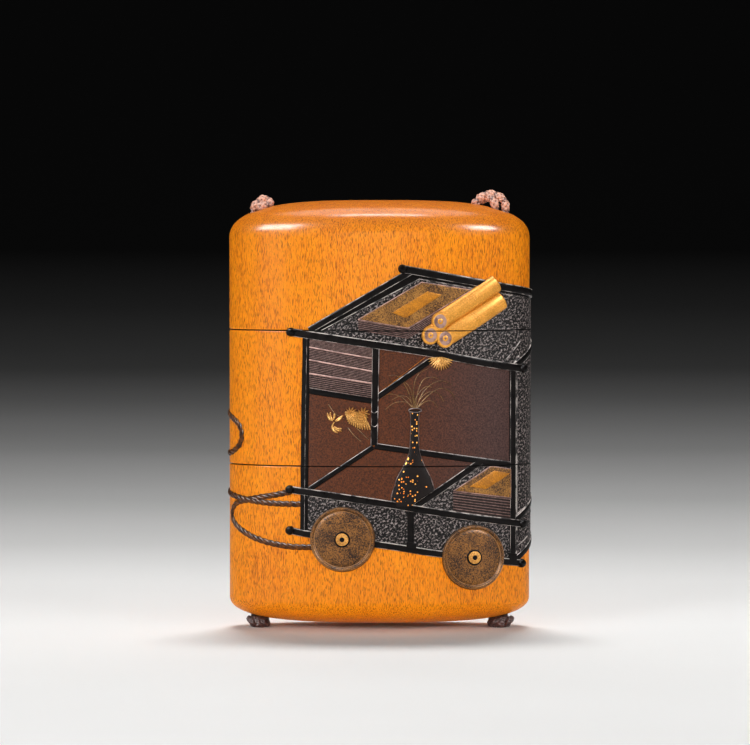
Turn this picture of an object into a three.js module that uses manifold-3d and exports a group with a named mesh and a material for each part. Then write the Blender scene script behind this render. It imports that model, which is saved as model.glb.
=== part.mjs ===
// An inro: a small tiered case of clear-finished wood, worn on a sash, with a lid
// and two stacked boxes held together by a silk cord through each side. A two-wheeled
// court book cart is raised on its skin in lacquer. Millimetres, +Z up, the raised
// picture facing -Y. The origin is on the ground, midway between the cord knots.
import * as THREE from "three";
import { mergeVertices } from "three/addons/utils/BufferGeometryUtils.js";
import Module from "manifold-3d";

const wasm = await Module();
wasm.setup();

// ---------------------------------------------------------------- driving sizes
// The case: an oval in plan, domed on top and lifting at the ends below.
const HALF_WIDTH = 28.5;
const HALF_DEPTH = 12;
const CASE_HEIGHT = 79.85;
const LOWER_SEAM = 29.9;
const UPPER_SEAM = 55.4;
const SEAM_GAP = 0.3;
const KNOT_LIFT = 1.3; // the knots below hold the underside this far off the ground
const DOME = { rise: 7.2, p: 3.3, q: 2.33 };
const KEEL = { rise: 4.75, p: 4.1, q: 2.2, flat: 0.55 };
const AROUND = 44; // facets round the oval

// Inside: rounded-oblong hollows, and risers that the case above fits over.
const SOCKET = { x: 20.2, y: 9.7 };
const RISER_CLEARANCE = 0.3;
const RISER_WALL = 1.2;
const RISER_HEIGHT = 5;
const FLOOR_THICKNESS = 1.7;
const BOTTOM_FLOOR = 3.6;
const CEILING = { wall: 74, crown: 77 };
const HOLLOW_POWER = 3; // of the superellipse that is the hollows' plan
const HOLLOW_SIDES = 24;

// The cords: a doubled strand in a channel down each end.
const CHANNEL_X = 22.8;
const CHANNEL_RADIUS = 2;
const STRAND_RADIUS = 0.8;
const STRAND_OFFSET = 0.86;
const KNOT_MIDDLE = -0.62; // height of the strand's axis in a knot

// How far each kind of relief stands off the skin, and how deep it is keyed in.
const KEY = 1;
const LIFT = { panel: 0.3, book: 0.5, cover: 0.62, slip: 0.74, rail: 0.55, vase: 0.85,
  flower: 0.62, rope: 0.5, wheel: 0.75, rim: 0.95, hub: 1.1, scroll: 1.3 };

// The cart, drawn obliquely. It is set out on the unrolled skin: s runs round the oval
// from the front centre line, positive to the right, and z runs up from the underside.
const RAIL = 0.72; // half widths
const POST = 0.75;
const BAR = 0.6;
const OVERHANG = 2.7; // of a front rail past its posts
const KNOB = [[0.85, 0.42], [0.5, 0.68]]; // a rail's end, as [radius, lift] steps
const CART = {
  left: -14.2, // front posts
  right: 26.1,
  roof: { z: 54.9, fall: 0.163, depth: 19.6, climb: 0.59 },
  floor: { z: 25.05, fall: 0.15, depth: 12.9, climb: 0.65 },
  sill: { z: 17.3, fall: 0.142 },
  end: { depth: 20.4, climb: 0.58 }, // the end wall, running round the right side
  shelf: { z: 44.25, fall: 0.165, climb: 0.67 },
  wheelRadius: 6.1,
};

// ---------------------------------------------------------------- closed solids
// Joins coincident corners and turns a closed surface to face outwards.
function toSolid(geometry) {
  const bare = geometry.clone();
  bare.deleteAttribute("normal");
  bare.deleteAttribute("uv");
  const merged = mergeVertices(bare, 1e-4);
  const corners = Uint32Array.from(merged.index.array);
  const build = () =>
    new wasm.Manifold(
      new wasm.Mesh({
        numProp: 3,
        vertProperties: Float32Array.from(merged.attributes.position.array),
        triVerts: corners,
      }),
    );
  const solid = build();
  if (solid.volume() > 0) return solid;
  for (let i = 0; i < corners.length; i += 3)
    [corners[i], corners[i + 1]] = [corners[i + 1], corners[i]];
  return build();
}

// A closed skin through rings of equal count, capped at both ends about their centres.
function loft(rings) {
  const count = rings[0].length;
  const points = rings.flat();
  const index = [];
  for (let j = 0; j < rings.length - 1; j++)
    for (let i = 0; i < count; i++) {
      const a = j * count + i;
      const b = j * count + ((i + 1) % count);
      index.push(a, b, b + count, a, b + count, a + count);
    }
  for (const [j, ring] of [[0, rings[0]], [rings.length - 1, rings.at(-1)]]) {
    const centre = ring.reduce((sum, p) => sum.add(p), new THREE.Vector3());
    points.push(centre.divideScalar(count));
    for (let i = 0; i < count; i++) {
      const edge = [j * count + i, j * count + ((i + 1) % count)];
      if (j === 0) edge.reverse();
      index.push(...edge, points.length - 1);
    }
  }
  const geometry = new THREE.BufferGeometry().setFromPoints(points);
  geometry.setIndex(index);
  return toSolid(geometry);
}

const union = (solids) => solids.reduce((sum, solid) => sum.add(solid));

// A block with a full-size plan between two levels, to part the case with.
function slice(low, high) {
  const block = new THREE.BoxGeometry(4 * HALF_WIDTH, 4 * HALF_WIDTH, high - low);
  return toSolid(block.translate(0, 0, (low + high) / 2));
}

function rod(x, y, low, high, radius, sides) {
  const cylinder = new THREE.CylinderGeometry(radius, radius, high - low, sides);
  return toSolid(cylinder.rotateX(Math.PI / 2).translate(x, y, (low + high) / 2));
}

// ---------------------------------------------------------------- the case's skin
// How far the surface has fallen from its crown at a share k of the oval's size.
const fallAt = (k, { rise, p, q }) =>
  rise * (1 - Math.pow(Math.max(0, 1 - Math.pow(k, p)), 1 / q));

function oval(scale, z) {
  return Array.from({ length: AROUND }, (_, i) => {
    const t = (i * 2 * Math.PI) / AROUND;
    return new THREE.Vector3(
      scale * HALF_WIDTH * Math.sin(t), -scale * HALF_DEPTH * Math.cos(t), z);
  });
}

function caseSkin() {
  const keelShares = [KEEL.flat, 0.78, 0.92, 0.982, 1];
  const domeShares = [1, 0.99, 0.96, 0.9, 0.78, 0.58, 0.3];
  const ground = fallAt(KEEL.flat, KEEL);
  return loft([
    ...keelShares.map((k) => oval(k, fallAt(k, KEEL) - ground)),
    ...domeShares.map((k) => oval(k, CASE_HEIGHT - fallAt(k, DOME))),
  ]);
}

// The distance round the oval from its front centre line, tabled against the angle.
const GIRTH_STEPS = 720;
const girth = [0];
for (let i = 1; i <= GIRTH_STEPS; i++) {
  const t = ((i - 0.5) * Math.PI) / GIRTH_STEPS;
  const speed = Math.hypot(HALF_WIDTH * Math.cos(t), HALF_DEPTH * Math.sin(t));
  girth.push(girth[i - 1] + (speed * Math.PI) / GIRTH_STEPS);
}

function angleAt(s) {
  const away = Math.min(Math.abs(s), girth[GIRTH_STEPS]);
  let i = girth.findIndex((g) => g >= away);
  i = Math.max(1, i);
  const share = (away - girth[i - 1]) / (girth[i] - girth[i - 1]);
  return (Math.sign(s) * (i - 1 + share) * Math.PI) / GIRTH_STEPS;
}

// The point at s round the oval and z up it, standing off the skin by lift.
function onSkin(s, z, lift) {
  const t = angleAt(s);
  const normal = new THREE.Vector2(
    HALF_DEPTH * Math.sin(t), -HALF_WIDTH * Math.cos(t)).normalize();
  return new THREE.Vector3(
    HALF_WIDTH * Math.sin(t) + normal.x * lift,
    -HALF_DEPTH * Math.cos(t) + normal.y * lift, z);
}

// ---------------------------------------------------------------- relief elements
// The lines down the skin where two facets meet.
const facetLines = Array.from({ length: AROUND + 1 }, (_, i) => {
  const place = ((i - AROUND / 2) * 2 * GIRTH_STEPS) / AROUND;
  return Math.sign(place) * girth[Math.abs(place)];
});

// A flat-topped plate over a convex outline, its top following the facets.
function plate(corners, lift) {
  const left = Math.min(...corners.map(([s]) => s));
  const right = Math.max(...corners.map(([s]) => s));
  const sliver = 0.01;
  const stops = [left + sliver, right - sliver,
    ...corners.map(([s]) => s), ...facetLines]
    .filter((s) => s > left + sliver / 2 && s < right - sliver / 2)
    .sort((a, b) => a - b)
    .filter((s, i, all) => i === 0 || s - all[i - 1] > sliver / 2);
  const rings = stops.map((s) => {
    const heights = corners.flatMap(([s0, z0], i) => {
      const [s1, z1] = corners[(i + 1) % corners.length];
      if ((s0 - s) * (s1 - s) > 0 || s0 === s1) return [];
      return [z0 + ((z1 - z0) * (s - s0)) / (s1 - s0)];
    });
    const low = Math.min(...heights);
    const high = Math.max(...heights);
    return [onSkin(s, low, -KEY), onSkin(s, high, -KEY),
      onSkin(s, high, lift), onSkin(s, low, lift)];
  });
  return loft(rings);
}

// A strip along a curve on the skin. across(u) is its half width, and profile is half
// of its section, as [share of the half width, share of the lift] from the edge in.
const SQUARE = [[1, 1]];
const ROUND = [[1, 0.25], [0.6, 0.9]];
const FULL_ROUND = [[1, 0.2], [0.82, 0.68], [0.42, 0.96]];
function strip(curve, across, lift, profile, steps) {
  const section = [...profile, ...profile.map(([a, h]) => [-a, h]).reverse()];
  const rings = Array.from({ length: steps + 1 }, (_, i) => {
    const u = i / steps;
    const at = curve.getPointAt(u);
    const along = curve.getTangentAt(u);
    const half = typeof across === "function" ? across(u) : across;
    const foot = [[1, -KEY / lift], ...section, [-1, -KEY / lift]];
    return foot.map(([a, h]) =>
      onSkin(at.x - along.y * a * half, at.y + along.x * a * half, h * lift));
  });
  return loft(rings);
}

function bar([s0, z0], [s1, z1], half, lift = LIFT.rail, profile = SQUARE) {
  const line = new THREE.LineCurve3(
    new THREE.Vector3(s0, z0, 0), new THREE.Vector3(s1, z1, 0));
  const steps = Math.max(1, Math.ceil(Math.abs(s1 - s0) / 4));
  return strip(line, half, lift, profile, steps);
}

function trail(points, half, lift, steps) {
  const curve = new THREE.CatmullRomCurve3(
    points.map(([s, z]) => new THREE.Vector3(s, z, 0)));
  return strip(curve, half, lift, ROUND, steps);
}

// A round boss turned from a profile of [radius, lift] steps, outer edge first.
function boss([s, z], profile, sides) {
  return loft([[profile[0][0], -KEY], ...profile].map(([radius, lift]) =>
    Array.from({ length: sides }, (_, i) => {
      const a = (i * 2 * Math.PI) / sides;
      return onSkin(s + radius * Math.cos(a), z + radius * Math.sin(a), lift);
    })));
}

// A flower or spray in outline: petals about a point from one bearing to another, in
// degrees, each reaching reach(bearing), with a notch between neighbours. A fan that
// doesn't close on itself comes back to the point.
function spray([s, z], from, to, count, reach) {
  const notch = 0.72;
  const whole = to - from >= 360;
  const outline = Array.from({ length: whole ? 2 * count : 2 * count - 1 }, (_, i) => {
    const bearing = THREE.MathUtils.degToRad(
      from + ((to - from) * i) / (whole ? 2 * count : 2 * count - 2));
    const tip = reach(bearing) * (i % 2 ? notch : 1);
    return [s + tip * Math.cos(bearing), z + tip * Math.sin(bearing)];
  });
  if (!whole) outline.push([s, z]);
  return loft([-KEY, LIFT.flower].map((lift) =>
    outline.map(([s1, z1]) => onSkin(s1, z1, lift))));
}

// ---------------------------------------------------------------- the book cart
const span = CART.right - CART.left;
const onRail = (rail, u) => [CART.left + u, rail.z - rail.fall * u];
const back = ([s, z], { depth, climb }, share = 1) =>
  [s + depth * share, z + depth * climb * share];

const roofLeft = onRail(CART.roof, 0);
const roofRight = onRail(CART.roof, span);
const floorLeft = onRail(CART.floor, 0);
const floorRight = onRail(CART.floor, span);
const sillLeft = onRail(CART.sill, 0);
const sillRight = onRail(CART.sill, span);
const roofBackLeft = back(roofLeft, CART.roof);
const roofBackRight = back(roofRight, CART.end);
const floorBackLeft = back(floorLeft, CART.floor);
const innerPost = floorBackLeft[0];
const shelfAt = (s) => CART.shelf.z - CART.shelf.fall * (s - CART.left);
const roofAt = (s) => CART.roof.z - CART.roof.fall * (s - CART.left);
const DIVIDER = { foot: 21.2, head: 33.2 }; // distances along the floor's two rails
const dividerFoot = onRail(CART.floor, DIVIDER.foot);
const dividerHead = [CART.left + DIVIDER.head,
  floorBackLeft[1] - CART.floor.fall * (CART.left + DIVIDER.head - innerPost)];

function panels() {
  return plate([roofLeft, roofBackLeft, roofBackRight,
    back(sillRight, CART.end), sillRight, sillLeft], LIFT.panel);
}

function frameRails() {
  const past = (rail, u) => onRail(rail, u);
  const frontRails = [CART.roof, CART.floor, CART.sill].flatMap((rail) => [
    bar(past(rail, -OVERHANG), past(rail, span + 2), RAIL),
    boss(past(rail, -OVERHANG), KNOB, 8),
    boss(past(rail, span + 2), KNOB, 8),
  ]);
  const sideRails = [roofRight, floorRight, sillRight].map((corner) =>
    bar(corner, back(corner, CART.end), BAR));
  const posts = [
    bar(sillLeft, roofLeft, POST),
    bar(sillRight, roofRight, POST),
    bar([innerPost, floorBackLeft[1]], [innerPost, roofAt(innerPost)], BAR),
    bar(back(sillRight, CART.end), roofBackRight, BAR),
    bar(onRail(CART.sill, span / 2), onRail(CART.floor, span / 2), BAR),
  ];
  return [
    ...frontRails, ...sideRails, ...posts,
    bar([roofBackLeft[0] - 1.4, roofBackLeft[1] + 0.25], roofBackRight, RAIL),
    boss([roofBackLeft[0] - 1.4, roofBackLeft[1] + 0.25], KNOB, 8),
    bar(roofLeft, roofBackLeft, RAIL),
    bar(floorLeft, floorBackLeft, BAR),
    bar(floorBackLeft, [CART.right, dividerHead[1]
      - CART.floor.fall * (CART.right - dividerHead[0])], BAR),
    bar(dividerFoot, dividerHead, BAR),
    bar([CART.left, shelfAt(CART.left)], [innerPost, shelfAt(innerPost)], BAR),
    bar([innerPost, shelfAt(innerPost) + 0.9],
      [innerPost + 10.6, shelfAt(innerPost) + 0.9 + 10.6 * CART.shelf.climb], BAR),
  ];
}

// Books lying flat on the shelf, as level bands with a groove between them.
function bookStack() {
  const volumes = 4;
  const groove = 0.3;
  const left = CART.left + POST;
  const right = innerPost - BAR;
  const headroom = roofAt(left) - RAIL - (shelfAt(left) + BAR);
  const volume = headroom / volumes;
  return Array.from({ length: volumes }, (_, i) => {
    const low = shelfAt(left) + BAR + i * volume;
    const drop = CART.shelf.fall * (right - left);
    return plate([[left, low], [right, low - drop],
      [right, low - drop + volume - groove], [left, low + volume - groove]], LIFT.book);
  });
}

// A bound album lying on a shelf: its cover, its title slip and the edges of its leaves.
function album([s, z], width, depth, leaves, slip) {
  const fall = 0.16;
  const climb = 0.585;
  const at = (u, v, w = 0) => [s + u + v, z - fall * u + climb * v + w];
  return [
    plate([at(0, 0, -leaves), at(width, 0, -leaves), at(width, 0), at(0, 0)], LIFT.book),
    plate([at(0, 0), at(width, 0), at(width, depth), at(0, depth)], LIFT.cover),
    plate([at(slip.u, slip.v), at(slip.u + slip.width, slip.v),
      at(slip.u + slip.width, slip.v + slip.length),
      at(slip.u, slip.v + slip.length)], LIFT.slip),
  ];
}

// Three rolled scrolls: two in front of each other along the roof, one end below.
function scrolls() {
  const radius = 1.8;
  const run = [10.3, 6.3];
  const tube = ([s, z], share) =>
    bar([s, z], [s + run[0] * share, z + run[1] * share], radius, LIFT.scroll, FULL_ROUND);
  return [tube([9.5, 54.9], 0.25), tube([12.5, 54.2], 1.03), tube([11.4, 57.8], 1.1)];
}

// A flask-shaped vase, its foot hidden behind the tray's divider.
function vase() {
  const mouth = [6.6, 40.3];
  const height = 17;
  const neck = 0.9;
  const belly = 4.4;
  const line = new THREE.LineCurve3(
    new THREE.Vector3(mouth[0], mouth[1], 0),
    new THREE.Vector3(mouth[0] - 0.3, mouth[1] - height, 0));
  const swell = (u) =>
    u < 0.03 ? neck + 0.35
      : neck + (belly - neck) * THREE.MathUtils.smoothstep(u, 0.42, 1.04);
  const [acrossRun, rise] = [0, 1].map((i) => dividerHead[i] - dividerFoot[i]);
  const tilt = Math.hypot(acrossRun, rise);
  const above = new THREE.Vector2(-rise / tilt, acrossRun / tilt);
  const edge = above.dot(new THREE.Vector2(...dividerFoot)) + BAR;
  return strip(line, swell, LIFT.vase, ROUND, 12)
    .trimByPlane([above.x, 0, above.y], edge);
}

function flowers() {
  const head = (bearing) =>
    2.45 - 0.45 * Math.abs(Math.sin(bearing)) - 0.25 * Math.sin(bearing);
  return [
    spray([-4.5, 39.4], 0, 360, 15, head),
    spray([11.2, 50.3], -170, -10, 8, () => 2.5),
    spray([-8.6, 38.5], 95, 150, 3, () => 2.1),
    spray([-8.4, 38.4], 0, 40, 2, () => 2),
    spray([-8.4, 38.3], -100, -35, 3, () => 2),
  ];
}

function wheels() {
  const rim = CART.wheelRadius;
  const profile = [[rim, LIFT.rim], [rim - 0.7, LIFT.rim], [rim - 0.85, LIFT.wheel],
    [1.45, LIFT.wheel], [1.3, LIFT.hub], [0.5, LIFT.hub]];
  return [[-6.95, 16.2], [18, 12.65]].map((hub) => boss(hub, profile, 18));
}

// The draught rope: a loop lying out to the left of the cart, and two falls of rope
// that run on round the left end and finish on the back.
function ropes() {
  const half = 0.55;
  return [
    trail([[-12.8, 14.6], [-18, 14.8], [-24, 16], [-29, 18.3], [-30.6, 20.4],
      [-29, 22.5], [-25, 23.4], [-20, 24.3], [-16.9, 24.9]], half, LIFT.rope, 9),
    trail([[-14.9, 22.9], [-21, 22.8], [-26, 23.3], [-31, 24.1], [-37, 24.9],
      [-44, 24.3]], half, LIFT.rope, 6),
    trail([[-44, 32.8], [-38, 32.4], [-32, 31.9], [-28.6, 33.2], [-27.5, 35.3],
      [-28.4, 37.5], [-31.5, 39], [-38, 40.2], [-46, 38.6], [-49.5, 34], [-48.6, 27.5],
      [-44, 24.3]], half, LIFT.rope, 17),
  ];
}

// ---------------------------------------------------------------- the three cases
// A prism or vault whose plan is the hollow's, at each [share of its size, z].
function hollow(halfX, halfY, levels) {
  return loft(levels.map(([k, z]) =>
    Array.from({ length: HOLLOW_SIDES }, (_, i) => {
      const t = (i * 2 * Math.PI) / HOLLOW_SIDES;
      const bend = (c) => Math.sign(c) * Math.pow(Math.abs(c), 2 / HOLLOW_POWER);
      return new THREE.Vector3(k * halfX * bend(Math.sin(t)), -k * halfY * bend(Math.cos(t)), z);
    })));
}

const riser = { x: SOCKET.x - RISER_CLEARANCE, y: SOCKET.y - RISER_CLEARANCE };
const store = { x: riser.x - RISER_WALL, y: riser.y - RISER_WALL };
const socketUpTo = (low, high) => hollow(SOCKET.x, SOCKET.y, [[1, low], [1, high]]);
const storeUpTo = (low, high) => hollow(store.x, store.y, [[1, low], [1, high]]);
const riserOn = (seam) =>
  hollow(riser.x, riser.y, [[1, seam - 1], [1, seam + RISER_HEIGHT - SEAM_GAP]]);

const decorated = union([
  caseSkin(), panels(), ...frameRails(), ...bookStack(),
  ...album([-4, 57.4], 9.4, 12, 2, { u: 3.2, v: 3.2, width: 2.7, length: 6.8 }),
  ...album([15, 25.2], 8.7, 1.4, 3.4, { u: 2.6, v: 0.5, width: 2.4, length: 0.8 }),
  ...scrolls(), vase(), ...flowers(), ...wheels(), ...ropes(),
]);
const channels = union([-1, 1].map((side) =>
  rod(side * CHANNEL_X, 0, -5, CASE_HEIGHT + 5, CHANNEL_RADIUS, 12)));
const drilled = decorated.subtract(channels);

const socketTop = LOWER_SEAM + RISER_HEIGHT + SEAM_GAP;
const halfGap = SEAM_GAP / 2;
const lid = drilled
  .intersect(slice(UPPER_SEAM + halfGap, CASE_HEIGHT + 5))
  .subtract(hollow(SOCKET.x, SOCKET.y, [[1, UPPER_SEAM - 5], [1, CEILING.wall],
    [0.85, CEILING.wall + 0.65 * (CEILING.crown - CEILING.wall)], [0.45, CEILING.crown]]));
const middleCase = drilled
  .intersect(slice(LOWER_SEAM + halfGap, UPPER_SEAM - halfGap))
  .subtract(socketUpTo(LOWER_SEAM - 5, socketTop))
  .add(riserOn(UPPER_SEAM))
  .subtract(storeUpTo(socketTop + FLOOR_THICKNESS, CASE_HEIGHT));
const bottomCase = drilled
  .intersect(slice(-5, LOWER_SEAM - halfGap))
  .add(riserOn(LOWER_SEAM))
  .subtract(storeUpTo(BOTTOM_FLOOR, CASE_HEIGHT));

// ---------------------------------------------------------------- the silk cords
// One length of strand along a smooth curve.
function strand(points, steps) {
  const section = new THREE.Shape();
  section.absarc(0, 0, STRAND_RADIUS, 0, 2 * Math.PI);
  const curve = new THREE.CatmullRomCurve3(points.map((p) => new THREE.Vector3(...p)));
  return toSolid(new THREE.ExtrudeGeometry(section,
    { steps, curveSegments: 4, extrudePath: curve, bevelEnabled: false }));
}

// A doubled strand through the channel at one end, with a bight standing out of the top
// and a knot drawn up against the underside. loop is the bight's route, x measured
// outwards from the channel's axis, and z from the underside.
function sideCord(side, loop, split, knotSize) {
  const x0 = side * CHANNEL_X;
  const place = ([x, y, z]) => [x0 + side * x, y, z];
  const low = -0.3;
  const high = 77.4;
  const runs = [-1, 1].map((way) =>
    rod(x0 + way * STRAND_OFFSET, 0, low, high, STRAND_RADIUS, 8));
  const bight = [
    strand(loop.slice(0, split + 1).map(place), 6),
    strand(loop.slice(split).map(place), 6),
  ];
  // The knot: a turn round the two strands, with a twist across it. The weight on it
  // has pressed it flat below, so the case stands on it without rocking.
  const turn = Array.from({ length: 9 }, (_, i) => {
    const a = (i * 2 * Math.PI) / 8;
    return place([knotSize.x * Math.cos(a), knotSize.y * Math.sin(a), KNOT_MIDDLE]);
  });
  const knot = [
    strand(turn.slice(0, 5), 4), strand(turn.slice(4), 4),
    strand([[-knotSize.x, -1.1, KNOT_MIDDLE], [0, -0.2, KNOT_MIDDLE - 0.05],
      [knotSize.x, 1.1, KNOT_MIDDLE]].map(place), 2),
  ];
  return union([...runs, ...bight, ...knot])
    .intersect(slice(-KNOT_LIFT, CASE_HEIGHT + 10));
}

const s = STRAND_OFFSET;
const rightLoop = [
  [s, 0, 76.6], [s + 0.35, -0.2, 78.6], [0.7, -0.1, 80.1], [-0.9, 0.2, 80.9],
  [-2.8, 0.8, 80.8], [-4.3, 1.2, 80.3], [-4.2, -0.4, 80.3], [-3, -0.9, 80.3],
  [-1.8, -0.9, 80.2], [-1.1, -0.5, 79.2], [-s, -0.1, 78.2], [-s, 0, 76.6],
];
const leftLoop = [
  [s, 0, 76.6], [s + 0.1, -0.2, 78.4], [0.6, -0.1, 79.7], [-0.7, 0.3, 80.2],
  [-1.7, 0.5, 79.7], [-1.6, -0.7, 79.1], [-s, -0.9, 78.9], [-s, -0.3, 78.2],
  [-s, 0, 76.6],
];

// ---------------------------------------------------------------- the scene graph
// Puts every corner on a fine grid, joins those that meet there, and drops the faces
// that this closes up. An edge that more than two faces come to share is a sliver left
// between them, and its two ends are joined as well.
const GRID = 0.004;
function settle({ numProp, vertProperties, triVerts }) {
  const corners = new Map();
  const places = [];
  const settled = Array.from({ length: vertProperties.length / numProp }, (_, i) => {
    const at = [0, 1, 2].map((axis) =>
      Math.round(vertProperties[numProp * i + axis] / GRID));
    const key = at.join();
    if (!corners.has(key)) {
      corners.set(key, corners.size);
      places.push(...at.map((steps) => steps * GRID));
    }
    return corners.get(key);
  });
  let faces = [];
  for (let i = 0; i < triVerts.length; i += 3)
    faces.push([0, 1, 2].map((j) => settled[triVerts[i + j]]));
  for (let crowded = true; crowded; ) {
    const kept = new Map();
    for (const face of faces) {
      if (new Set(face).size < 3) continue;
      const key = [...face].sort((m, n) => m - n).join();
      if (!kept.delete(key)) kept.set(key, face);
    }
    faces = [...kept.values()];
    const sharers = new Map();
    for (const [a, b, c] of faces)
      for (const edge of [[a, b], [b, c], [c, a]]) {
        const key = edge.sort((m, n) => m - n).join();
        sharers.set(key, (sharers.get(key) ?? 0) + 1);
      }
    crowded = [...sharers].find(([, count]) => count > 2);
    if (crowded) {
      const [stay, go] = crowded[0].split(",").map(Number);
      faces = faces.map((face) => face.map((corner) => (corner === go ? stay : corner)));
    }
  }
  const geometry = new THREE.BufferGeometry();
  geometry.setAttribute("position", new THREE.Float32BufferAttribute(places, 3));
  geometry.setIndex(faces.flat());
  return geometry;
}

function toMesh(name, solid, colour, roughness) {
  const geometry = settle(solid.getMesh());
  geometry.computeVertexNormals();
  const mesh = new THREE.Mesh(geometry,
    new THREE.MeshStandardMaterial({ color: colour, roughness, metalness: 0 }));
  mesh.name = name;
  return mesh;
}

const WOOD = "#d9861f";
const SILK = "#b98672";
const inro = new THREE.Group();
inro.position.z = KNOT_LIFT;
inro.add(
  toMesh("lid", lid, WOOD, 0.35),
  toMesh("middle_case", middleCase, WOOD, 0.35),
  toMesh("bottom_case", bottomCase, WOOD, 0.35),
  toMesh("left_cord", sideCord(-1, leftLoop, 4, { x: 1.2, y: 2.6 }), SILK, 0.8),
  toMesh("right_cord", sideCord(1, rightLoop, 5, { x: 1.5, y: 2.7 }), SILK, 0.8),
);

export default inro;
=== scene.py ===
"""Builds the inro case and its stage. An inro is a small tiered box worn on a sash.

Three cases of clear-lacquered wood stack into one oval body. A two-wheeled court book
cart is raised on the skin in coloured lacquers, and a silk cord runs through each end.

The relief is set out in millimetres on the unrolled skin: s runs round the oval from the
front centre line, positive to the right, z runs up from the underside, and lift is the
height above the wood. Meshes are in metres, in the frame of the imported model.
"""

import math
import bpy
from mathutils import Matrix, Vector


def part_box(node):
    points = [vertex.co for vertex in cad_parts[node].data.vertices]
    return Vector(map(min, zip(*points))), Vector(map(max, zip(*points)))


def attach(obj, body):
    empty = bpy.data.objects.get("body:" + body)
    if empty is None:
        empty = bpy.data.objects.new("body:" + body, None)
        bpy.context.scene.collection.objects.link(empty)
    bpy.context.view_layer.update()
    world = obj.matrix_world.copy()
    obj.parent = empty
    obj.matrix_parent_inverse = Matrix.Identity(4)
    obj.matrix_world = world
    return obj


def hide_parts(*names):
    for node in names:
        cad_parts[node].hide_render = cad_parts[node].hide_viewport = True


bl_info = {
    "name": "Inro Case Builder",
    "version": (1, 0, 0),
    "blender": (4, 5, 0),
    "location": "View3D > Sidebar > Inro",
    "description": "Builds a tiered wooden inro with a lacquered book cart",
    "category": "Add Mesh",
}

import bmesh
import bpy
import numpy as np
from mathutils import Vector, noise

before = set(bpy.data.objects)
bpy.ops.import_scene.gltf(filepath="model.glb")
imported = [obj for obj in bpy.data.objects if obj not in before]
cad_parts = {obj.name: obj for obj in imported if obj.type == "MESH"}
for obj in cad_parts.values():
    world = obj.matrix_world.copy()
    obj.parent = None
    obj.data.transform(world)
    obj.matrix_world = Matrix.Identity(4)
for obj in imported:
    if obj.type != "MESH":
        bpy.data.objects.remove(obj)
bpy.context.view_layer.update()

MM = 0.001
LID_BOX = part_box("lid")
MIDDLE_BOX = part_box("middle_case")
BOTTOM_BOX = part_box("bottom_case")
CAD_GAP = 0.0003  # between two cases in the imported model

# ---------------------------------------------------------------- sizes in millimetres
# How the skin falls towards its ends above and below, and the keel's level middle.
DOME = {"rise": 7.2, "p": 3.3, "q": 2.33}
KEEL = {"rise": 4.75, "p": 4.1, "q": 2.2}
KEEL_FLAT = 0.55
AROUND = 192  # corners of a ring round the case

# The hollows' half sizes. A riser stands in the socket of the case above it.
SOCKET = (20.2, 9.7)
RISER = (19.9, 9.4)
STORE = (18.7, 8.2)
RISER_HEIGHT = 4.7
SOCKET_CLEARANCE = 0.6  # above a riser
FLOOR_THICKNESS = 1.7
BOTTOM_FLOOR = 3.6
CEILING = [(1, 74), (0.985, 74.7), (0.93, 75.6), (0.8, 76.4), (0.45, 77), (0.05, 77)]
CHANNEL_RADIUS = 2.0
EDGE_EASE = 0.12  # rounding of the cases' edges at the seams

# Each kind of relief's height above the wood, and how deep its foot is set in it.
FOOT = 0.15
LIFT = {"border": 0.1, "ground": 0.22, "book": 0.36, "leaves": 0.42, "cover": 0.52,
        "slip": 0.62, "rail": 0.52, "bar": 0.45, "post": 0.48, "vase": 0.72,
        "flower": 0.5, "stem": 0.33, "rope": 0.05, "rim": 0.92, "wheel": 0.7,
        "hub": 1.02, "scroll": 1.2}
GRIT_SIZE = 0.17  # height of a full lump of the stone-textured lacquer
GRIT_PITCH = 0.36

# Half sections from edge to edge: [share of the half width, share of the lift].
SOFT_SQUARE = [(-1, 0.45), (-0.95, 0.74), (-0.8, 0.93), (-0.55, 1), (0.55, 1),
               (0.8, 0.93), (0.95, 0.74), (1, 0.45)]
HALF_ROUND = [(-1, 0.15), (-0.95, 0.42), (-0.81, 0.68), (-0.56, 0.89), (-0.2, 0.99),
              (0.2, 0.99), (0.56, 0.89), (0.81, 0.68), (0.95, 0.42), (1, 0.15)]
SHALLOW_ROUND = [(-1, 0.3), (-0.92, 0.58), (-0.7, 0.82), (-0.3, 0.97), (0.3, 0.97),
                 (0.7, 0.82), (0.92, 0.58), (1, 0.3)]
RIDGE = [(-1, 0.35), (-0.6, 0.8), (0, 1), (0.6, 0.8), (1, 0.35)]

# The outlines of the cart's lacquer grounds.
ROOF_BORDER = [(-13.6, 55.0), (5.4, 66.4), (46.5, 59.9), (26.1, 48.3)]
STONE_GROUNDS = {
    "roof": [(-11.3, 55.0), (7.4, 65.1), (26.5, 62.1), (45.6, 58.9), (25.0, 48.6)],
    "left_skirt": [(-13.6, 24.8), (5.6, 22.0), (5.6, 14.6), (-13.6, 17.2)],
    "right_skirt": [(6.1, 21.9), (25.6, 19.0), (25.6, 11.7), (6.1, 14.4)],
    "tray": [(7.4, 22.0), (25.6, 19.2), (25.6, 30.0), (19.8, 30.9)],
    "end_wall": [(26.6, 48.4), (46.2, 59.6), (46.2, 30.8), (26.6, 19.2)],
    "end_skirt": [(26.6, 18.8), (46.2, 30.4), (46.2, 23.2), (26.6, 11.8)],
}
RED_GROUNDS = {
    "left_wall": [(-13.6, 43.9), (-1.2, 42.0), (-1.2, 33.6), (-13.6, 25.3)],
    "back_wall": [(-0.8, 33.7), (25.6, 29.9), (25.6, 48.2), (9.4, 51.0), (-0.8, 43.2)],
    "above_strut": [(-0.2, 52.4), (9.2, 51.0), (-0.2, 43.8)],
    "floor": [(-13.0, 25.0), (7.2, 22.1), (19.6, 30.8), (-1.0, 33.8)],
}

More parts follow.
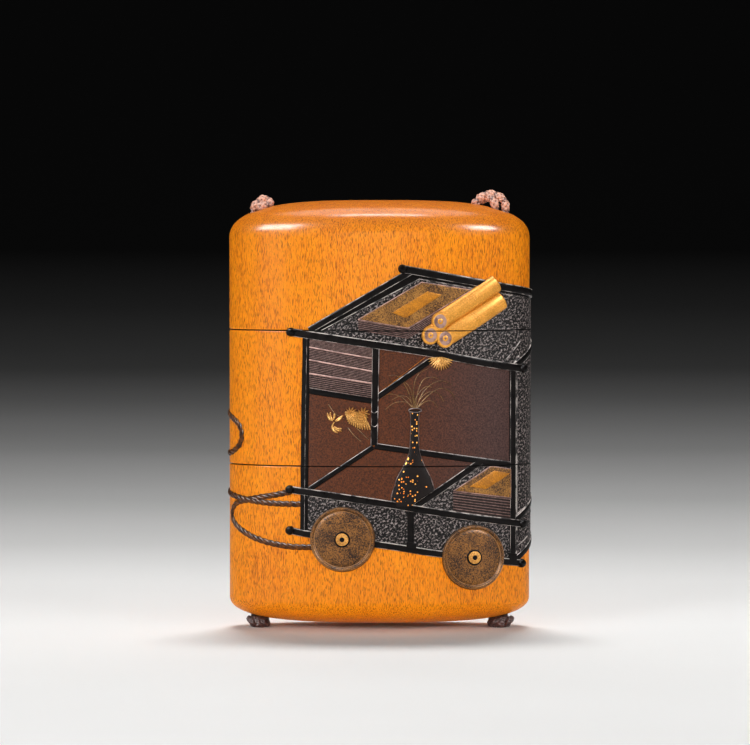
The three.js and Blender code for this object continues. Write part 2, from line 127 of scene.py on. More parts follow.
# The bars, posts and rails of the cart: half widths and middle lines.
BARS = {
    "gable": (0.65, [(-13.2, 55.5), (6.2, 66.75)]),
    "strut": (0.55, [(-0.6, 42.85), (9.6, 49.9)]),
    "floor_left": (0.5, [(-13.2, 25.6), (-1.2, 33.6)]),
    "floor_rear": (0.6, [(-0.9, 33.8), (25.6, 29.95)]),
    "divider": (0.65, [(6.6, 22.3), (19.4, 30.8)]),
    "shelf": (0.62, [(-13.2, 44.15), (-1.4, 42.35)]),
    "gable_right": (0.65, [(26.15, 48.3), (46.5, 60.0)]),
    "floor_right": (0.6, [(26.15, 19.0), (46.5, 30.9)]),
    "sill_right": (0.6, [(26.15, 11.5), (46.5, 23.3)]),
}
POSTS = {
    "left": ((0.75, 0.75), [(-13.75, 54.7), (-14.05, 40.2), (-14.3, 17.2)]),
    "right": ((0.75, 0.75), [(26.15, 48.3), (26.15, 11.5)]),
    "inner": ((0.7, 0.55), [(-0.7, 52.3), (-1.0, 33.9)]),
    "middle": ((0.65, 0.65), [(5.85, 22.0), (5.85, 14.4)]),
    "rear": ((0.65, 0.65), [(46.5, 60.0), (46.5, 23.2)]),
}
RAILS = {
    "ridge": (0.75, [(4.3, 67.05), (20, 64.2), (30, 62.6), (46.5, 60.0)]),
    "eaves": (0.75, [(-16.8, 55.12), (0, 52.7), (10.1, 51.15), (20.6, 49.2),
                     (28.8, 48.0)]),
    "floor": (0.7, [(-17.0, 25.45), (-13, 24.95), (0, 23.1), (10, 21.4), (20, 19.85),
                    (28.6, 18.6)]),
    "sill": (0.66, [(-17.0, 17.75), (-13, 17.05), (0, 15.2), (5, 14.45), (10, 13.6),
                    (23, 11.85), (28.4, 11.15)]),
}
RAIL_END = [(0.85, 0.35), (0.8, 0.7), (0.62, 0.95), (0.3, 1.05)]  # radius, lift
# Fine lines along the roof's border and at the right end, and blocks at two posts' feet.
HAIRLINES = [[(-11.1, 55.4), (7.45, 65.15), (28.2, 61.5)], [(24.3, 49.5), (28.1, 53.3)],
             [(26.0, 48.6), (27.8, 50.6)], [(27.2, 20.5), (31.0, 22.5)],
             [(27.0, 14.3), (30.5, 16.2)]]
POST_FEET = [[(25.2, 11.4), (27.1, 11.1), (27.1, 13.0), (25.2, 13.3)],
             [(5.0, 14.6), (6.9, 14.3), (6.9, 15.5), (5.0, 15.8)]]

# Four volumes lie on the shelf, with the height of each joint at the left and the right.
# Each album has a cover, a title slip, and edges of leaves in so many threads.
SHELF_BOOKS = (-13.2, -1.4)
BOOK_JOINTS = [(54.3, 52.4), (52.35, 50.25), (49.95, 47.85), (47.4, 45.6), (44.6, 42.7)]
ALBUMS = {
    "roof": {
        "edges": [[(-4, 57.5), (5.3, 55.9), (5.3, 53.9), (-3.9, 55.45)],
                  [(5.3, 55.9), (17.4, 63.0), (17.4, 61.0), (5.3, 53.9)]],
        "threads": (6, 0.07),
        "cover": [(-4, 57.55), (7.9, 64.55), (17.4, 63.05), (5.3, 55.95)],
        "slip": [(2.3, 58.85), (9, 62.85), (11.6, 62.15), (4.9, 57.85)]},
    "tray": {  # cut off by the right front post
        "edges": [[(13.9, 25.25), (25.6, 23.65), (25.6, 19.4), (13.9, 21.2)]],
        "threads": (8, 0.08),
        "cover": [(14.0, 25.3), (21.3, 29.8), (25.6, 29.1), (25.6, 23.7)],
        "slip": [(17, 26.05), (22, 28.95), (25.4, 28.3), (20.3, 25.5)]},
}

# The scrolls from their near ends, and where fine arcs cross the two long ones.
SCROLLS = [((9.45, 54.6), (11.9, 56.1), ()),
           ((12.2, 54.0), (24.0, 61.2), (6.6, 7.1, 7.6)),
           ((11.25, 57.2), (22.7, 64.4), (6.8, 7.3, 7.8, 8.3))]
SCROLL_HALF = 1.75
SCROLL_SLIM = 0.88  # an end's width to its height, as it is seen from one side

# The vase's half width at each height, and the middle of its foot and of its mouth.
VASE = [(40.5, 1.15), (40.0, 0.92), (39.2, 0.82), (36, 0.82), (33.3, 0.92),
        (31.6, 1.35), (29.8, 2.15), (27.8, 3.2), (25.8, 3.85), (24.6, 4.2), (23.5, 4.3),
        (22.4, 4.15)]
VASE_FOOT = (6.4, 22.4)
VASE_MOUTH = (6.62, 40.5)
STEMS = [
    [(6.9, 40.8), (7.6, 42.6), (9.2, 43.9), (11.0, 43.7), (12.1, 42.1)],
    [(6.8, 40.8), (8.0, 43.6), (9.8, 45.4), (11.8, 46.0), (13.7, 45.2)],
    [(6.7, 40.8), (7.2, 44.0), (8.2, 46.2), (9.8, 46.7), (11.0, 46.4)],
    [(6.5, 40.8), (6.0, 43.8), (5.0, 45.6), (3.4, 45.9), (1.8, 45.2)],
    [(6.4, 40.8), (5.4, 42.8), (3.9, 43.2), (2.2, 42.4)],
    [(6.6, 40.8), (6.4, 44.5), (7.2, 47.2), (9.2, 48.4)],
    [(6.4, 40.8), (5.0, 42.0), (2.8, 41.9), (1.0, 40.6)],
    [(7.0, 40.8), (8.4, 42.0), (9.9, 42.2), (11.0, 40.9)],
    [(6.9, 40.8), (8.8, 43.0), (11.3, 44.6), (13.4, 43.9), (14.3, 42.4)],
    [(6.6, 40.8), (6.9, 43.0), (8.6, 44.9), (9.9, 44.8)],
    [(6.3, 40.8), (5.2, 44.4), (3.4, 46.9), (1.6, 47.0)],
    [(6.3, 40.8), (4.2, 42.9), (1.9, 43.6), (0.4, 42.9)],
    [(-6.0, 37.3), (-4.8, 35.8), (-3.4, 34.6)],
    [(-9.6, 41.6), (-8.4, 39.9), (-6.6, 38.9)],
    [(-4.4, 37.3), (-3.1, 36.0), (-2.0, 34.9)],
]
# The full head's two lobes and its lower edge, the half head, and forked leaves.
LOBES = np.array([(-5.3, 40.35), (-3.0, 40.3)])
PETAL_TIPS = [(-6.5, 39.9), (-6.1, 38.7), (-5.7, 37.95), (-4.5, 37.3), (-3.2, 36.85),
              (-1.7, 36.8)]
HALF_HEAD = (11.5, 50.55)
LEAVES = [
    [(-8.75, 38.5), (-9.5, 39.0), (-9.8, 40.05)],
    [(-8.7, 38.6), (-9.2, 39.3), (-9.2, 40.15)],
    [(-8.6, 38.7), (-8.5, 39.3), (-8.45, 39.95)],
    [(-8.4, 38.5), (-7.6, 39.0), (-6.8, 39.55)],
    [(-8.3, 38.45), (-7.6, 38.7), (-7.1, 39.2)],
    [(-8.5, 38.35), (-8.85, 37.4), (-8.5, 36.6), (-7.8, 36.2)],
    [(-8.55, 37.5), (-7.9, 37.05), (-7.05, 37.05)],
    [(-8.6, 37.3), (-7.9, 36.75), (-7.05, 36.55)],
]

WHEELS = [(-6.95, 16.2), (17.9, 12.65)]

# The rope's middle lines: a loop lying out on the left, and two falls that run on round
# the left end and finish on the back. Three strands wind round each, and the whole is
# flattened, as it is modelled in low relief.
ROPES = [
    [(-12.6, 14.6), (-18, 14.8), (-24, 16), (-29, 18.3), (-30.6, 20.4), (-29, 22.5),
     (-25, 23.5), (-20, 24.4), (-16.6, 25.1)],
    [(-14.6, 22.7), (-21, 22.8), (-26, 23.3), (-31, 24.1), (-37, 24.9), (-44, 24.3)],
    [(-44, 32.8), (-38, 32.4), (-32, 31.9), (-28.6, 33.2), (-27.5, 35.3),
     (-28.4, 37.5), (-31.5, 39), (-38, 40.2), (-46, 38.6), (-49.5, 34),
     (-48.6, 27.5), (-44, 24.3)],
]
ROPE_LAY = 3.9  # length of one full twist
ROPE_STRAND = 0.33  # a strand's radius, and how far its middle is from the rope's
ROPE_AWAY = 0.27
ROPE_FLATNESS = 0.55
ROPE_KNOT = [(0.95, 0.5), (0.9, 0.9), (0.7, 1.15), (0.35, 1.3)]  # radius, lift

# The cords' bights above, x outwards from the channel's middle. Each is plaited into
# lobes of one length. The knots' half sizes are across and from front to back.
STRAND_OFFSET = 0.86
LOBE = 1.95
LOBE_SHARE = 0.22  # by which a bight draws in between lobes
BIGHTS = {
    "left": [(0.86, 0, 74), (0.86, 0, 76.4), (1.0, -0.2, 78.1), (0.65, -0.3, 79.0),
             (-0.2, -0.1, 79.8), (-0.95, 0.2, 80.05), (-1.7, 0.4, 79.8),
             (-1.95, 0.1, 79.3), (-1.4, -0.8, 78.95), (-0.2, -1.15, 78.6),
             (-0.5, -0.9, 77.9), (-0.86, -0.1, 76.8), (-0.86, 0, 76), (-0.86, 0, 74)],
    "right": [(0.86, 0, 74), (0.86, 0, 76.4), (1.05, -0.3, 77.8), (1.1, -0.4, 78.8),
              (0.75, -0.3, 79.8), (-0.1, 0, 80.5), (-1.3, 0.3, 80.95), (-2.5, 0.5, 80.85),
              (-3.6, 0.4, 80.3), (-4.45, 0.3, 79.4), (-4.5, 1.2, 79.3),
              (-3.4, 1.5, 79.9), (-2, 0.5, 80.3), (-1.35, -0.6, 80.0),
              (-0.95, -0.9, 79.1), (-0.85, -0.6, 77.9), (-0.86, 0, 76.4), (-0.86, 0, 74)],
}
KNOTS = {"left": (1.2, 2.4), "right": (1.5, 2.5)}
WRAP_SHARE = 0.72  # of the cord's radius, for the wraps of a knot
BRAID_STEP = 0.1
BRAID_PITCH = 3.4
BRAID = {"middle": 0.56, "weave": 0.09, "end": 0.37, "core": 0.55}  # shares of the radius


def linear(hex_colour):
    """The linear RGB of an sRGB colour written as #rrggbb."""
    shares = [int(hex_colour[i:i + 2], 16) / 255 for i in (1, 3, 5)]
    return tuple(c / 12.92 if c <= 0.04045 else ((c + 0.055) / 1.055) ** 2.4
                 for c in shares)


# ---------------------------------------------------------------- what a user may change
def length(name, description, default):
    return bpy.props.FloatProperty(
        name=name, description=description, default=default, unit="LENGTH", precision=5)


def colour(name, description, default):
    return bpy.props.FloatVectorProperty(
        name=name, description=description, default=linear(default), size=3,
        subtype="COLOR", min=0, max=1)


class InroCaseSettings(bpy.types.PropertyGroup):
    half_width: length("Half width", "From the middle to either end", -LID_BOX[0].x)
    half_depth: length("Half depth", "From the middle to the back", LID_BOX[1].y)
    ground: length("Ground clearance", "From the ground to the underside",
                   BOTTOM_BOX[0].z)
    top: length("Crown", "From the ground to the crown of the lid", 0.08115)
    lower_seam: length("Lower seam", "Height of the lower seam above the ground",
                       MIDDLE_BOX[0].z - CAD_GAP / 2)
    upper_seam: length("Upper seam", "Height of the upper seam above the ground",
                       LID_BOX[0].z - CAD_GAP / 2)
    seam_gap: length("Seam gap", "Gap between two cases at their edges", 0.0002)
    honey: colour("Wood", "Main colour of the wood", "#ec8606")
    amber: colour("Pale fibres", "Colour of the palest fibres", "#fc9a08")
    shade: colour("Dark fibres", "Colour of the darkest fibres", "#c05c02")
    pore: colour("Pores", "Colour of the pores in the wood", "#6a2600")


class InroLacquerSettings(bpy.types.PropertyGroup):
    black: colour("Black", "Polished black lacquer", "#080606")
    # The stone and grit colours are painted shade in the hollows and painted highlight on
    # the lumps.
    stone: colour("Stone", "Hollows of the stone-textured lacquer", "#080504")
    grit: colour("Grit", "Grains of the stone-textured lacquer", "#8f8380")
    red: colour("Red brown", "Sprinkled red-brown lacquer", "#4e2409")
    plum: colour("Plum", "Red-brown lacquer where it turns grey", "#402823")
    gold: colour("Gold", "Sprinkled gold of the scrolls", "#e29c3c")
    bronze: colour("Bronze", "Sprinkled brown gold of the albums' covers", "#a2702f")
    mauve: colour("Mauve", "Edges of the books' leaves", "#8d7069")
    # The silver's lines along the rails' and bars' upper edges are partly painted
    # highlights.
    silver: colour("Silver", "Drawn edge lines", "#bdb2ab")
    rope: colour("Rope", "Brown of the draught rope", "#2c1405")


class InroCordSettings(bpy.types.PropertyGroup):
    silk: colour("Silk", "Salmon silk", "#e09c7c")
    # The silk shade is painted shade, for the hollows between the braided ends and the
    # notches between lobes.
    shade: colour("Silk shade", "Silk between the braided ends", "#5c2612")
    radius: length("Cord radius", "Half the cord's thickness", 0.0008)
    channel: length("Channel", "From the middle to either cord channel", 0.0228)


class InroStageSettings(bpy.types.PropertyGroup):
    floor: colour("Floor", "Plain pale floor", "#fbfaf9")
    distance: length("Camera distance", "From the camera to the case", 0.9)
    height: length("Camera height", "Camera above the ground", 0.0863)
    aim: length("Aim height", "Height of the point aimed at", 0.0484)


# ---------------------------------------------------------------- materials
def add_node(tree, kind, inputs=None, stops=(), **settings):
    """Adds a node. inputs maps a socket to a value, or to the node or socket that feeds
    it, stops are a ramp's colours by position, and settings are its properties."""
    node = tree.nodes.new(kind)
    for name, value in settings.items():
        setattr(node, name, value)
    for place, (position, shade) in enumerate(stops):
        ramp = node.color_ramp.elements
        element = ramp[place] if place < 2 else ramp.new(position)
        element.position = position
        element.color = (*np.broadcast_to(shade, 3), 1)
    for name, value in (inputs or {}).items():
        socket = node.inputs[name]
        if isinstance(value, bpy.types.Node):
            value = next(out for out in value.outputs if out.enabled)
        if isinstance(value, bpy.types.NodeSocket):
            tree.links.new(value, socket)
        else:
            socket.default_value = (*value, 1) if socket.type == "RGBA" else value
    return node


def blank_material(name):
    """A material with an empty node tree, and the piece's own coordinates."""
    material = bpy.data.materials.new(name)
    material.use_nodes = True
    tree = material.node_tree
    tree.nodes.clear()
    return material, tree, add_node(tree, "ShaderNodeTexCoord").outputs["Object"]


def shaded(material, inputs):
    """Ends a material in a Principled shader that takes inputs."""
    tree = material.node_tree
    shader = add_node(tree, "ShaderNodeBsdfPrincipled", inputs)
    add_node(tree, "ShaderNodeOutputMaterial", {"Surface": shader})
    return material


def per(size):
    """The texture scale at which one cell of a pattern is size millimetres across."""
    return 1 / (size * MM)


def graded(tree, place, axis, start, stop, low=0.0, high=1.0):
    """A value that goes from low to high between two places along an axis, in mm."""
    apart = add_node(tree, "ShaderNodeSeparateXYZ", {"Vector": place})
    return add_node(tree, "ShaderNodeMapRange", {
        "Value": apart.outputs[axis], "From Min": start * MM, "From Max": stop * MM,
        "To Min": low, "To Max": high})


def mottled(name, size, stops, inputs):
    """A finish whose colour drifts between two, in clouds of a size in millimetres."""
    material, tree, place = blank_material(name)
    cloud = add_node(tree, "ShaderNodeTexNoise", {
        "Vector": place, "Scale": per(size), "Detail": 3.0})
    tone = add_node(tree, "ShaderNodeValToRGB", {"Fac": cloud}, stops)
    return shaded(material, {"Base Color": tone, **inputs})


def rubbed_wood(case):
    """Fine diffuse-porous wood, scraped and rubbed with clear lacquer. The film gives a
    satin gloss, and the grain shows as short dark pores that run up the case."""
    material, tree, place = blank_material("wood_rubbed_with_clear_lacquer")

    def streaks(across, tall, **look):
        """Noise drawn out along the grain, with cells so many millimetres in size."""
        at = add_node(tree, "ShaderNodeMapping", {
            "Vector": place, "Scale": (per(across), per(across), per(tall))})
        return add_node(tree, "ShaderNodeTexNoise", {"Vector": at, "Scale": 1.0, **look})

    figure = streaks(4, 40, Detail=3.0)
    # Fibres are about 0.03 mm wide. They are drawn 0.2 mm wide to show.
    fibres = streaks(0.2, 1.5, Detail=2.0, Roughness=0.6)
    grain = add_node(tree, "ShaderNodeMath", {0: figure, 1: 0.3, 2: fibres},
                     operation="MULTIPLY_ADD")
    body = add_node(tree, "ShaderNodeValToRGB", {"Fac": grain}, [
        (0.42, case.shade), (0.88, case.amber), (0.62, case.honey)])
    # Vessels are about 0.1 mm wide. They are drawn 0.13 mm wide and 0.95 mm long to
    # show, and come in loose drifts.
    pores = streaks(0.13, 0.95, Detail=1.0)
    drifts = streaks(2, 9, Detail=2.0)
    crowd = add_node(tree, "ShaderNodeMath", {0: drifts, 1: 0.1, 2: pores},
                     operation="MULTIPLY_ADD")
    pore_mask = add_node(tree, "ShaderNodeValToRGB", {"Fac": crowd}, [
        (0.61, 0.0), (0.74, 0.8)])
    # Painted shade: the wood is darkened towards the crown.
    crown_painted_shade = add_node(tree, "ShaderNodeMix", {
        "Factor": graded(tree, place, "Z", 75, 80, 0.0, 0.5), "A": body,
        "B": case.shade}, data_type="RGBA")
    pored = add_node(tree, "ShaderNodeMix", {
        "Factor": pore_mask, "A": crown_painted_shade, "B": case.pore}, data_type="RGBA")
    hollow = add_node(tree, "ShaderNodeBump", {
        "Height": pore_mask, "Strength": 0.35, "Distance": 0.02 * MM}, invert=True)
    return shaded(material, {
        "Base Color": pored, "Normal": hollow, "Roughness": 0.6,
        "Specular IOR Level": 0.05, "Coat Weight": 0.35, "Coat Roughness": 0.2,
        "Coat IOR": 1.45})


def lining_lacquer():
    """Brown-black lacquer, brushed on in one coat. It turns the hollows and the seams
    between the cases dark, with a brown cast where the brush left it thin."""
    return mottled("brown_black_lacquer_brushed", 3.0, [
        (0.35, linear("#120804")), (0.65, linear("#1a0c06"))],
        {"Roughness": 0.4, "Specular IOR Level": 0.3})


def black_lacquer(lacquer):
    """Roiro lacquer, laid thick and polished with charcoal and oil. It is all but black,
    and soft lamps show as bright edges on its rounded rails."""
    name = "black_lacquer_polished"
    if name in bpy.data.materials:
        return bpy.data.materials[name]
    material, tree, place = blank_material(name)
    cloud = add_node(tree, "ShaderNodeTexNoise", {
        "Vector": place, "Scale": per(1.5), "Detail": 4.0})
    tone = add_node(tree, "ShaderNodeValToRGB", {"Fac": cloud}, [
        (0.35, lacquer.black), (0.85, linear("#15100e"))])
    gloss = add_node(tree, "ShaderNodeMapRange", {
        "Value": cloud, "To Min": 0.2, "To Max": 0.42})
    return shaded(material, {
        "Base Color": tone, "Roughness": gloss, "IOR": 1.4, "Specular IOR Level": 0.15})


def stone_lacquer(lacquer):
    """Ishime lacquer: a putty of lacquer and charcoal dust, dabbed on and left rough. Its
    grit is coloured by the lumps' height, pale on the lumps as painted highlight and
    dark in the hollows as painted shade."""
    material, tree, place = blank_material("charcoal_lacquer_dabbed_rough")
    grit = add_node(tree, "ShaderNodeAttribute", attribute_name="grit")
    dust = add_node(tree, "ShaderNodeTexNoise", {
        "Vector": place, "Scale": per(0.22), "Detail": 2.0, "Roughness": 0.7})
    height = add_node(tree, "ShaderNodeMath", {
        0: grit.outputs["Fac"], 1: 0.55, 2: dust}, operation="MULTIPLY_ADD")
    # Painted highlight and painted shade: the higher the lump, the paler its colour.
    tone = add_node(tree, "ShaderNodeValToRGB", {"Fac": height}, [
        (0.53, lacquer.stone), (0.68, lacquer.grit)])
    rough = add_node(tree, "ShaderNodeBump", {
        "Height": dust, "Strength": 0.6, "Distance": 0.08 * MM})
    return shaded(material, {
        "Base Color": tone, "Normal": rough, "Roughness": 0.45,
        "Specular IOR Level": 0.15})


def red_lacquer(lacquer):
    """Red-brown lacquer with metal dust sprinkled in and polished level. The dust gives
    a fine warm speckle, and the ground turns plum grey towards the right."""
    material, tree, place = blank_material("red_brown_lacquer_sprinkled")
    ground = add_node(tree, "ShaderNodeMix", {
        "Factor": graded(tree, place, "X", 2, 22), "A": lacquer.red,
        "B": lacquer.plum}, data_type="RGBA")
    # The dust is about 0.05 mm. It is drawn as 0.3 mm speckles to show.
    dust = add_node(tree, "ShaderNodeTexNoise", {
        "Vector": place, "Scale": per(0.3), "Detail": 2.0, "Roughness": 0.7})
    spread = add_node(tree, "ShaderNodeMapRange", {
        "Value": dust, "From Min": 0.3, "From Max": 0.7, "To Min": 0.35, "To Max": 1.75})
    speckled = add_node(tree, "ShaderNodeMix", {
        "Factor": 1.0, "A": ground, "B": spread}, data_type="RGBA",
        blend_type="MULTIPLY")
    fine = add_node(tree, "ShaderNodeBump", {
        "Height": dust, "Strength": 0.3, "Distance": 0.03 * MM})
    return shaded(material, {
        "Base Color": speckled, "Normal": fine, "Roughness": 0.5,
        "Specular IOR Level": 0.15})


def sprinkled_gold(name, light, dark, grain, metal, clouds=0.5):
    """Gold dust sprinkled on wet lacquer and burnished: metal grains in a dark binder,
    so that it glows in light and goes brown in shade. The dust is far finer than shows,
    and is drawn grain millimetres across, in drifts of 2.6 mm."""
    material, tree, place = blank_material(name)
    dust = add_node(tree, "ShaderNodeTexNoise", {
        "Vector": place, "Scale": per(grain), "Detail": 3.0, "Roughness": 0.65})
    cloud = add_node(tree, "ShaderNodeTexNoise", {
        "Vector": place, "Scale": per(2.6), "Detail": 3.0})
    both = add_node(tree, "ShaderNodeMath", {0: cloud, 1: clouds, 2: dust},
                    operation="MULTIPLY_ADD")
    middle = 0.5 + 0.5 * clouds
    tone = add_node(tree, "ShaderNodeValToRGB", {"Fac": both}, [
        (middle - 0.11, dark), (middle + 0.15, light)])
    rough = add_node(tree, "ShaderNodeBump", {
        "Height": dust, "Strength": 0.35, "Distance": 0.04 * MM})
    return shaded(material, {
        "Base Color": tone, "Normal": rough, "Metallic": metal, "Roughness": 0.42,
        "Specular IOR Level": 0.3})


def drawn_line(name, shade, dark):
    """Tin or gold dust in lacquer, drawn with a fine brush and left standing. It breaks
    the black with pale uneven lines."""
    return mottled(name, 1.6, [(0.42, dark), (0.56, shade)],
                   {"Metallic": 0.1, "Roughness": 0.45})


def modelled_lacquer(lacquer):
    """Brown lacquer modelled in low relief and polished. The crowns of the rope's
    strands shine, and its lays stay dark."""
    return mottled("brown_lacquer_modelled", 0.7, [
        (0.4, lacquer.rope), (0.72, linear("#74410f"))],
        {"Roughness": 0.3, "Specular IOR Level": 0.22})


def leaf_edges(name, shade, dark):
    """Mauve lacquer combed into fine ridges for the edges of paper leaves. The combing
    breaks it into level threads of light and dark."""
    return mottled(name, 0.5, [(0.3, dark), (0.65, shade)],
                   {"Roughness": 0.5, "Specular IOR Level": 0.15})


def flaked_lacquer():
    """Dark lacquer with flakes of gold leaf scattered in it, thickest on the left and in
    the neck. Each flake flashes warm on the black."""
    material, tree, place = blank_material("dark_lacquer_with_gold_flakes")
    flakes = add_node(tree, "ShaderNodeTexVoronoi", {
        "Vector": place, "Scale": per(0.42), "Randomness": 1.0})
    near = add_node(tree, "ShaderNodeMath", {0: flakes, 1: 0.36}, operation="LESS_THAN")
    chance = add_node(tree, "ShaderNodeSeparateColor", {
        "Color": flakes.outputs["Color"]})
    scarce = add_node(tree, "ShaderNodeMath", {
        0: graded(tree, place, "X", 3, 9.5, 0.55, 1.0),
        1: graded(tree, place, "Z", 33, 35, 0.0, 0.3)}, operation="SUBTRACT")
    few = add_node(tree, "ShaderNodeMath", {0: chance.outputs["Red"], 1: scarce},
                   operation="GREATER_THAN")
    mask = add_node(tree, "ShaderNodeMath", {0: near, 1: few}, operation="MULTIPLY")
    flake = add_node(tree, "ShaderNodeMix", {
        "Factor": chance.outputs["Green"], "A": linear("#c8641c"),
        "B": linear("#e8b25c")}, data_type="RGBA")
    tone = add_node(tree, "ShaderNodeMix", {
        "Factor": mask, "A": linear("#120906"), "B": flake}, data_type="RGBA")
    return shaded(material, {
        "Base Color": tone, "Metallic": mask, "Roughness": 0.6,
        "Specular IOR Level": 0.1})


def braided_silk(cord):
    """Reeled silk, dyed salmon and braided from eight ends. Each end has a soft sheen.
    Painted shade turns the hollows between the ends and between the lobes red brown,
    and the knots below brown."""
    material, tree, place = blank_material("salmon_silk_braided")
    # Filaments are far finer than shows. They are drawn as 0.28 mm streaks.
    thread = add_node(tree, "ShaderNodeTexNoise", {
        "Vector": place, "Scale": per(0.28), "Detail": 3.0})
    # Painted shade: the braid's layer is low in the hollows between the ends and between
    # the lobes, and the silk shade colours it there.
    depth = add_node(tree, "ShaderNodeAttribute", attribute_name="braid_painted_shade")
    fuller = add_node(tree, "ShaderNodeMath", {
        0: thread, 1: 0.35, 2: depth.outputs["Fac"]}, operation="MULTIPLY_ADD")
    silk_with_painted_hollows = add_node(tree, "ShaderNodeValToRGB", {"Fac": fuller}, [
        (0.4, cord.shade), (0.97, cord.silk)])
    # Painted shade: the knots below the case are darkened brown.
    brown = add_node(tree, "ShaderNodeMix", {
        "Factor": 1.0, "A": silk_with_painted_hollows, "B": linear("#40170e")}, data_type="RGBA",
        blend_type="MULTIPLY")
    tone = add_node(tree, "ShaderNodeMix", {
        "Factor": graded(tree, place, "Z", 2, 5, 0.95, 0.0), "A": silk_with_painted_hollows, "B": brown},
        data_type="RGBA")
    fuzz = add_node(tree, "ShaderNodeBump", {
        "Height": thread, "Strength": 0.4, "Distance": 0.05 * MM})
    return shaded(material, {
        "Base Color": tone, "Normal": fuzz, "Roughness": 0.5, "Sheen Weight": 0.12})


def painted_board(stage):
    """Board painted matt, rolled on. It is plain and pale round the case, and behind it
    painted shade grades the paint as the light falls off, so that the far wall goes black."""
    material, tree, place = blank_material("matt_paint_rolled")
    cloud = add_node(tree, "ShaderNodeTexNoise", {
        "Vector": place, "Scale": 6.0, "Detail": 3.0})
    tone = add_node(tree, "ShaderNodeMix", {
        "Factor": cloud, "A": stage.floor, "B": linear("#ecebe9")}, data_type="RGBA")
    # Painted shade for the light's fall-off: the paint's share of its full lightness at
    # each distance behind the case, in metres.
    far = 1.5
    shares = [(0.0, 1.0), (1.47, 0.002), (0.1, 0.86), (0.2, 0.6), (0.35, 0.38),
              (0.58, 0.22), (0.9, 0.13), (1.28, 0.075), (1.4, 0.03)]
    painted_falloff = add_node(tree, "ShaderNodeValToRGB", {
        "Fac": graded(tree, place, "Y", 0, far / MM)}, [(y / far, k) for y, k in shares])
    paint = add_node(tree, "ShaderNodeMix", {
        "Factor": 1.0, "A": tone, "B": painted_falloff}, data_type="RGBA", blend_type="MULTIPLY")
    return shaded(material, {
        "Base Color": paint, "Roughness": 0.75, "Specular IOR Level": 0.1})


# ---------------------------------------------------------------- paths
def smooth_path(points, step):
    """A rounded line through the points, as rows about step apart."""
    points = np.asarray(points, float)
    padded = np.vstack([2 * points[0] - points[1], points, 2 * points[-1] - points[-2]])
    rows = []
    for a, b, c, d in zip(padded, padded[1:], padded[2:], padded[3:]):
        count = max(2, int(np.ceil(np.linalg.norm(c - b) / step)))
        u = np.linspace(0, 1, count, endpoint=False)[:, None]
        rows.append(0.5 * (2 * b + (c - a) * u + (2 * a - 5 * b + 4 * c - d) * u ** 2
                           + (3 * b - a - 3 * c + d) * u ** 3))
    return np.vstack([*rows, points[-1:]])


def even_path(points, step):
    """Rows along a polyline, at most step apart, keeping its corners."""
    points = np.asarray(points, float)
    rows = [points[:1]]
    for a, b in zip(points, points[1:]):
        count = max(1, int(np.ceil(np.linalg.norm(b - a) / step)))
        rows.append(a + (b - a) * np.linspace(0, 1, count + 1)[1:, None])
    return np.vstack(rows)


def oval_path(centre, half_across, half_up, steps):
    """An oval round centre, as a path that ends where it starts."""
    turns = np.linspace(0, 2 * math.pi, steps + 1)
    return np.stack([centre[0] + half_across * np.cos(turns),
                     centre[1] + half_up * np.sin(turns)], axis=1)


def full_turn(sides):
    """The angles of so many even steps round a circle."""
    return np.linspace(0, 2 * math.pi, sides, endpoint=False)


def heading(path):
    """The unit direction at each row of a path."""
    along = np.gradient(np.asarray(path, float), axis=0)
    return along / np.linalg.norm(along, axis=1)[:, None]


def leftward(path):
    """The unit normal on the left at each row of a flat path."""
    return heading(path)[:, ::-1] * (-1, 1)


def run_along(path):
    """The distance covered at each row of a path."""
    steps = np.linalg.norm(np.diff(path, axis=0), axis=1)
    return np.concatenate([[0], np.cumsum(steps)])


def carried_frame(path, up):
    """Two unit normals at each row of a 3-D path, carried along it without a twist."""
    along = heading(path)
    ups = []
    for way in along:
        up = up - way * np.dot(up, way)
        up = up / np.linalg.norm(up)
        ups.append(up)
    return np.array(ups), np.cross(along, ups)


# ---------------------------------------------------------------- forms
def add_sheet(bm, rows):
    """Faces between rows of corners."""
    for near, far in zip(rows, rows[1:]):
        for corners in zip(near, near[1:], far[1:], far):
            bm.faces.new(corners)


def join_rings(bm, rings):
    """Joins closed rings of equal count into one skin, and gives back its rows."""
    rows = [[bm.verts.new(p) for p in ring] for ring in rings]
    add_sheet(bm, [[*row, row[0]] for row in rows])
    return rows


def add_rings(bm, rings):
    """A skin over closed rings, with one face over each end."""
    rows = join_rings(bm, rings)
    bm.faces.new(rows[0][::-1])
    bm.faces.new(rows[-1])


def add_strip(bm, path, half, lift, section=SOFT_SQUARE, tip=0.0, base=0.0):
    """Lays a raised strip along path. half and lift may vary along it, and over the
    length tip each end draws in to a round. base raises its foot onto what it lies on."""
    path = np.asarray(path, float)
    run = run_along(path)
    half = np.broadcast_to(half, run.shape)
    lift = np.broadcast_to(lift, run.shape)
    if tip:
        turns = tip * (1 - np.cos(np.linspace(0.12, math.pi / 2, 5)))
        stops = np.unique(np.round(np.concatenate([
            turns, run[(run > tip) & (run < run[-1] - tip)], run[-1] - turns]), 5))
        path = np.stack([np.interp(stops, run, path[:, k]) for k in (0, 1)], axis=1)
        half, lift = (np.interp(stops, run, kind) for kind in (half, lift))
        inward = np.clip(np.minimum(stops, stops[-1] - stops) / tip, 0, 1)
        ease = np.sqrt(np.clip(1 - (1 - inward) ** 2, 0.02, 1))
        half, lift = half * ease, base + (lift - base) * (0.4 + 0.6 * ease)
    rings = []
    for at, out, width, height in zip(path, leftward(path), half, lift):
        across = [(-1, base - FOOT), *[(a, base + (height - base) * h) for a, h in section],
                  (1, base - FOOT)]
        rings.append([(*(at + out * a * width), h) for a, h in across])
    add_rings(bm, rings)


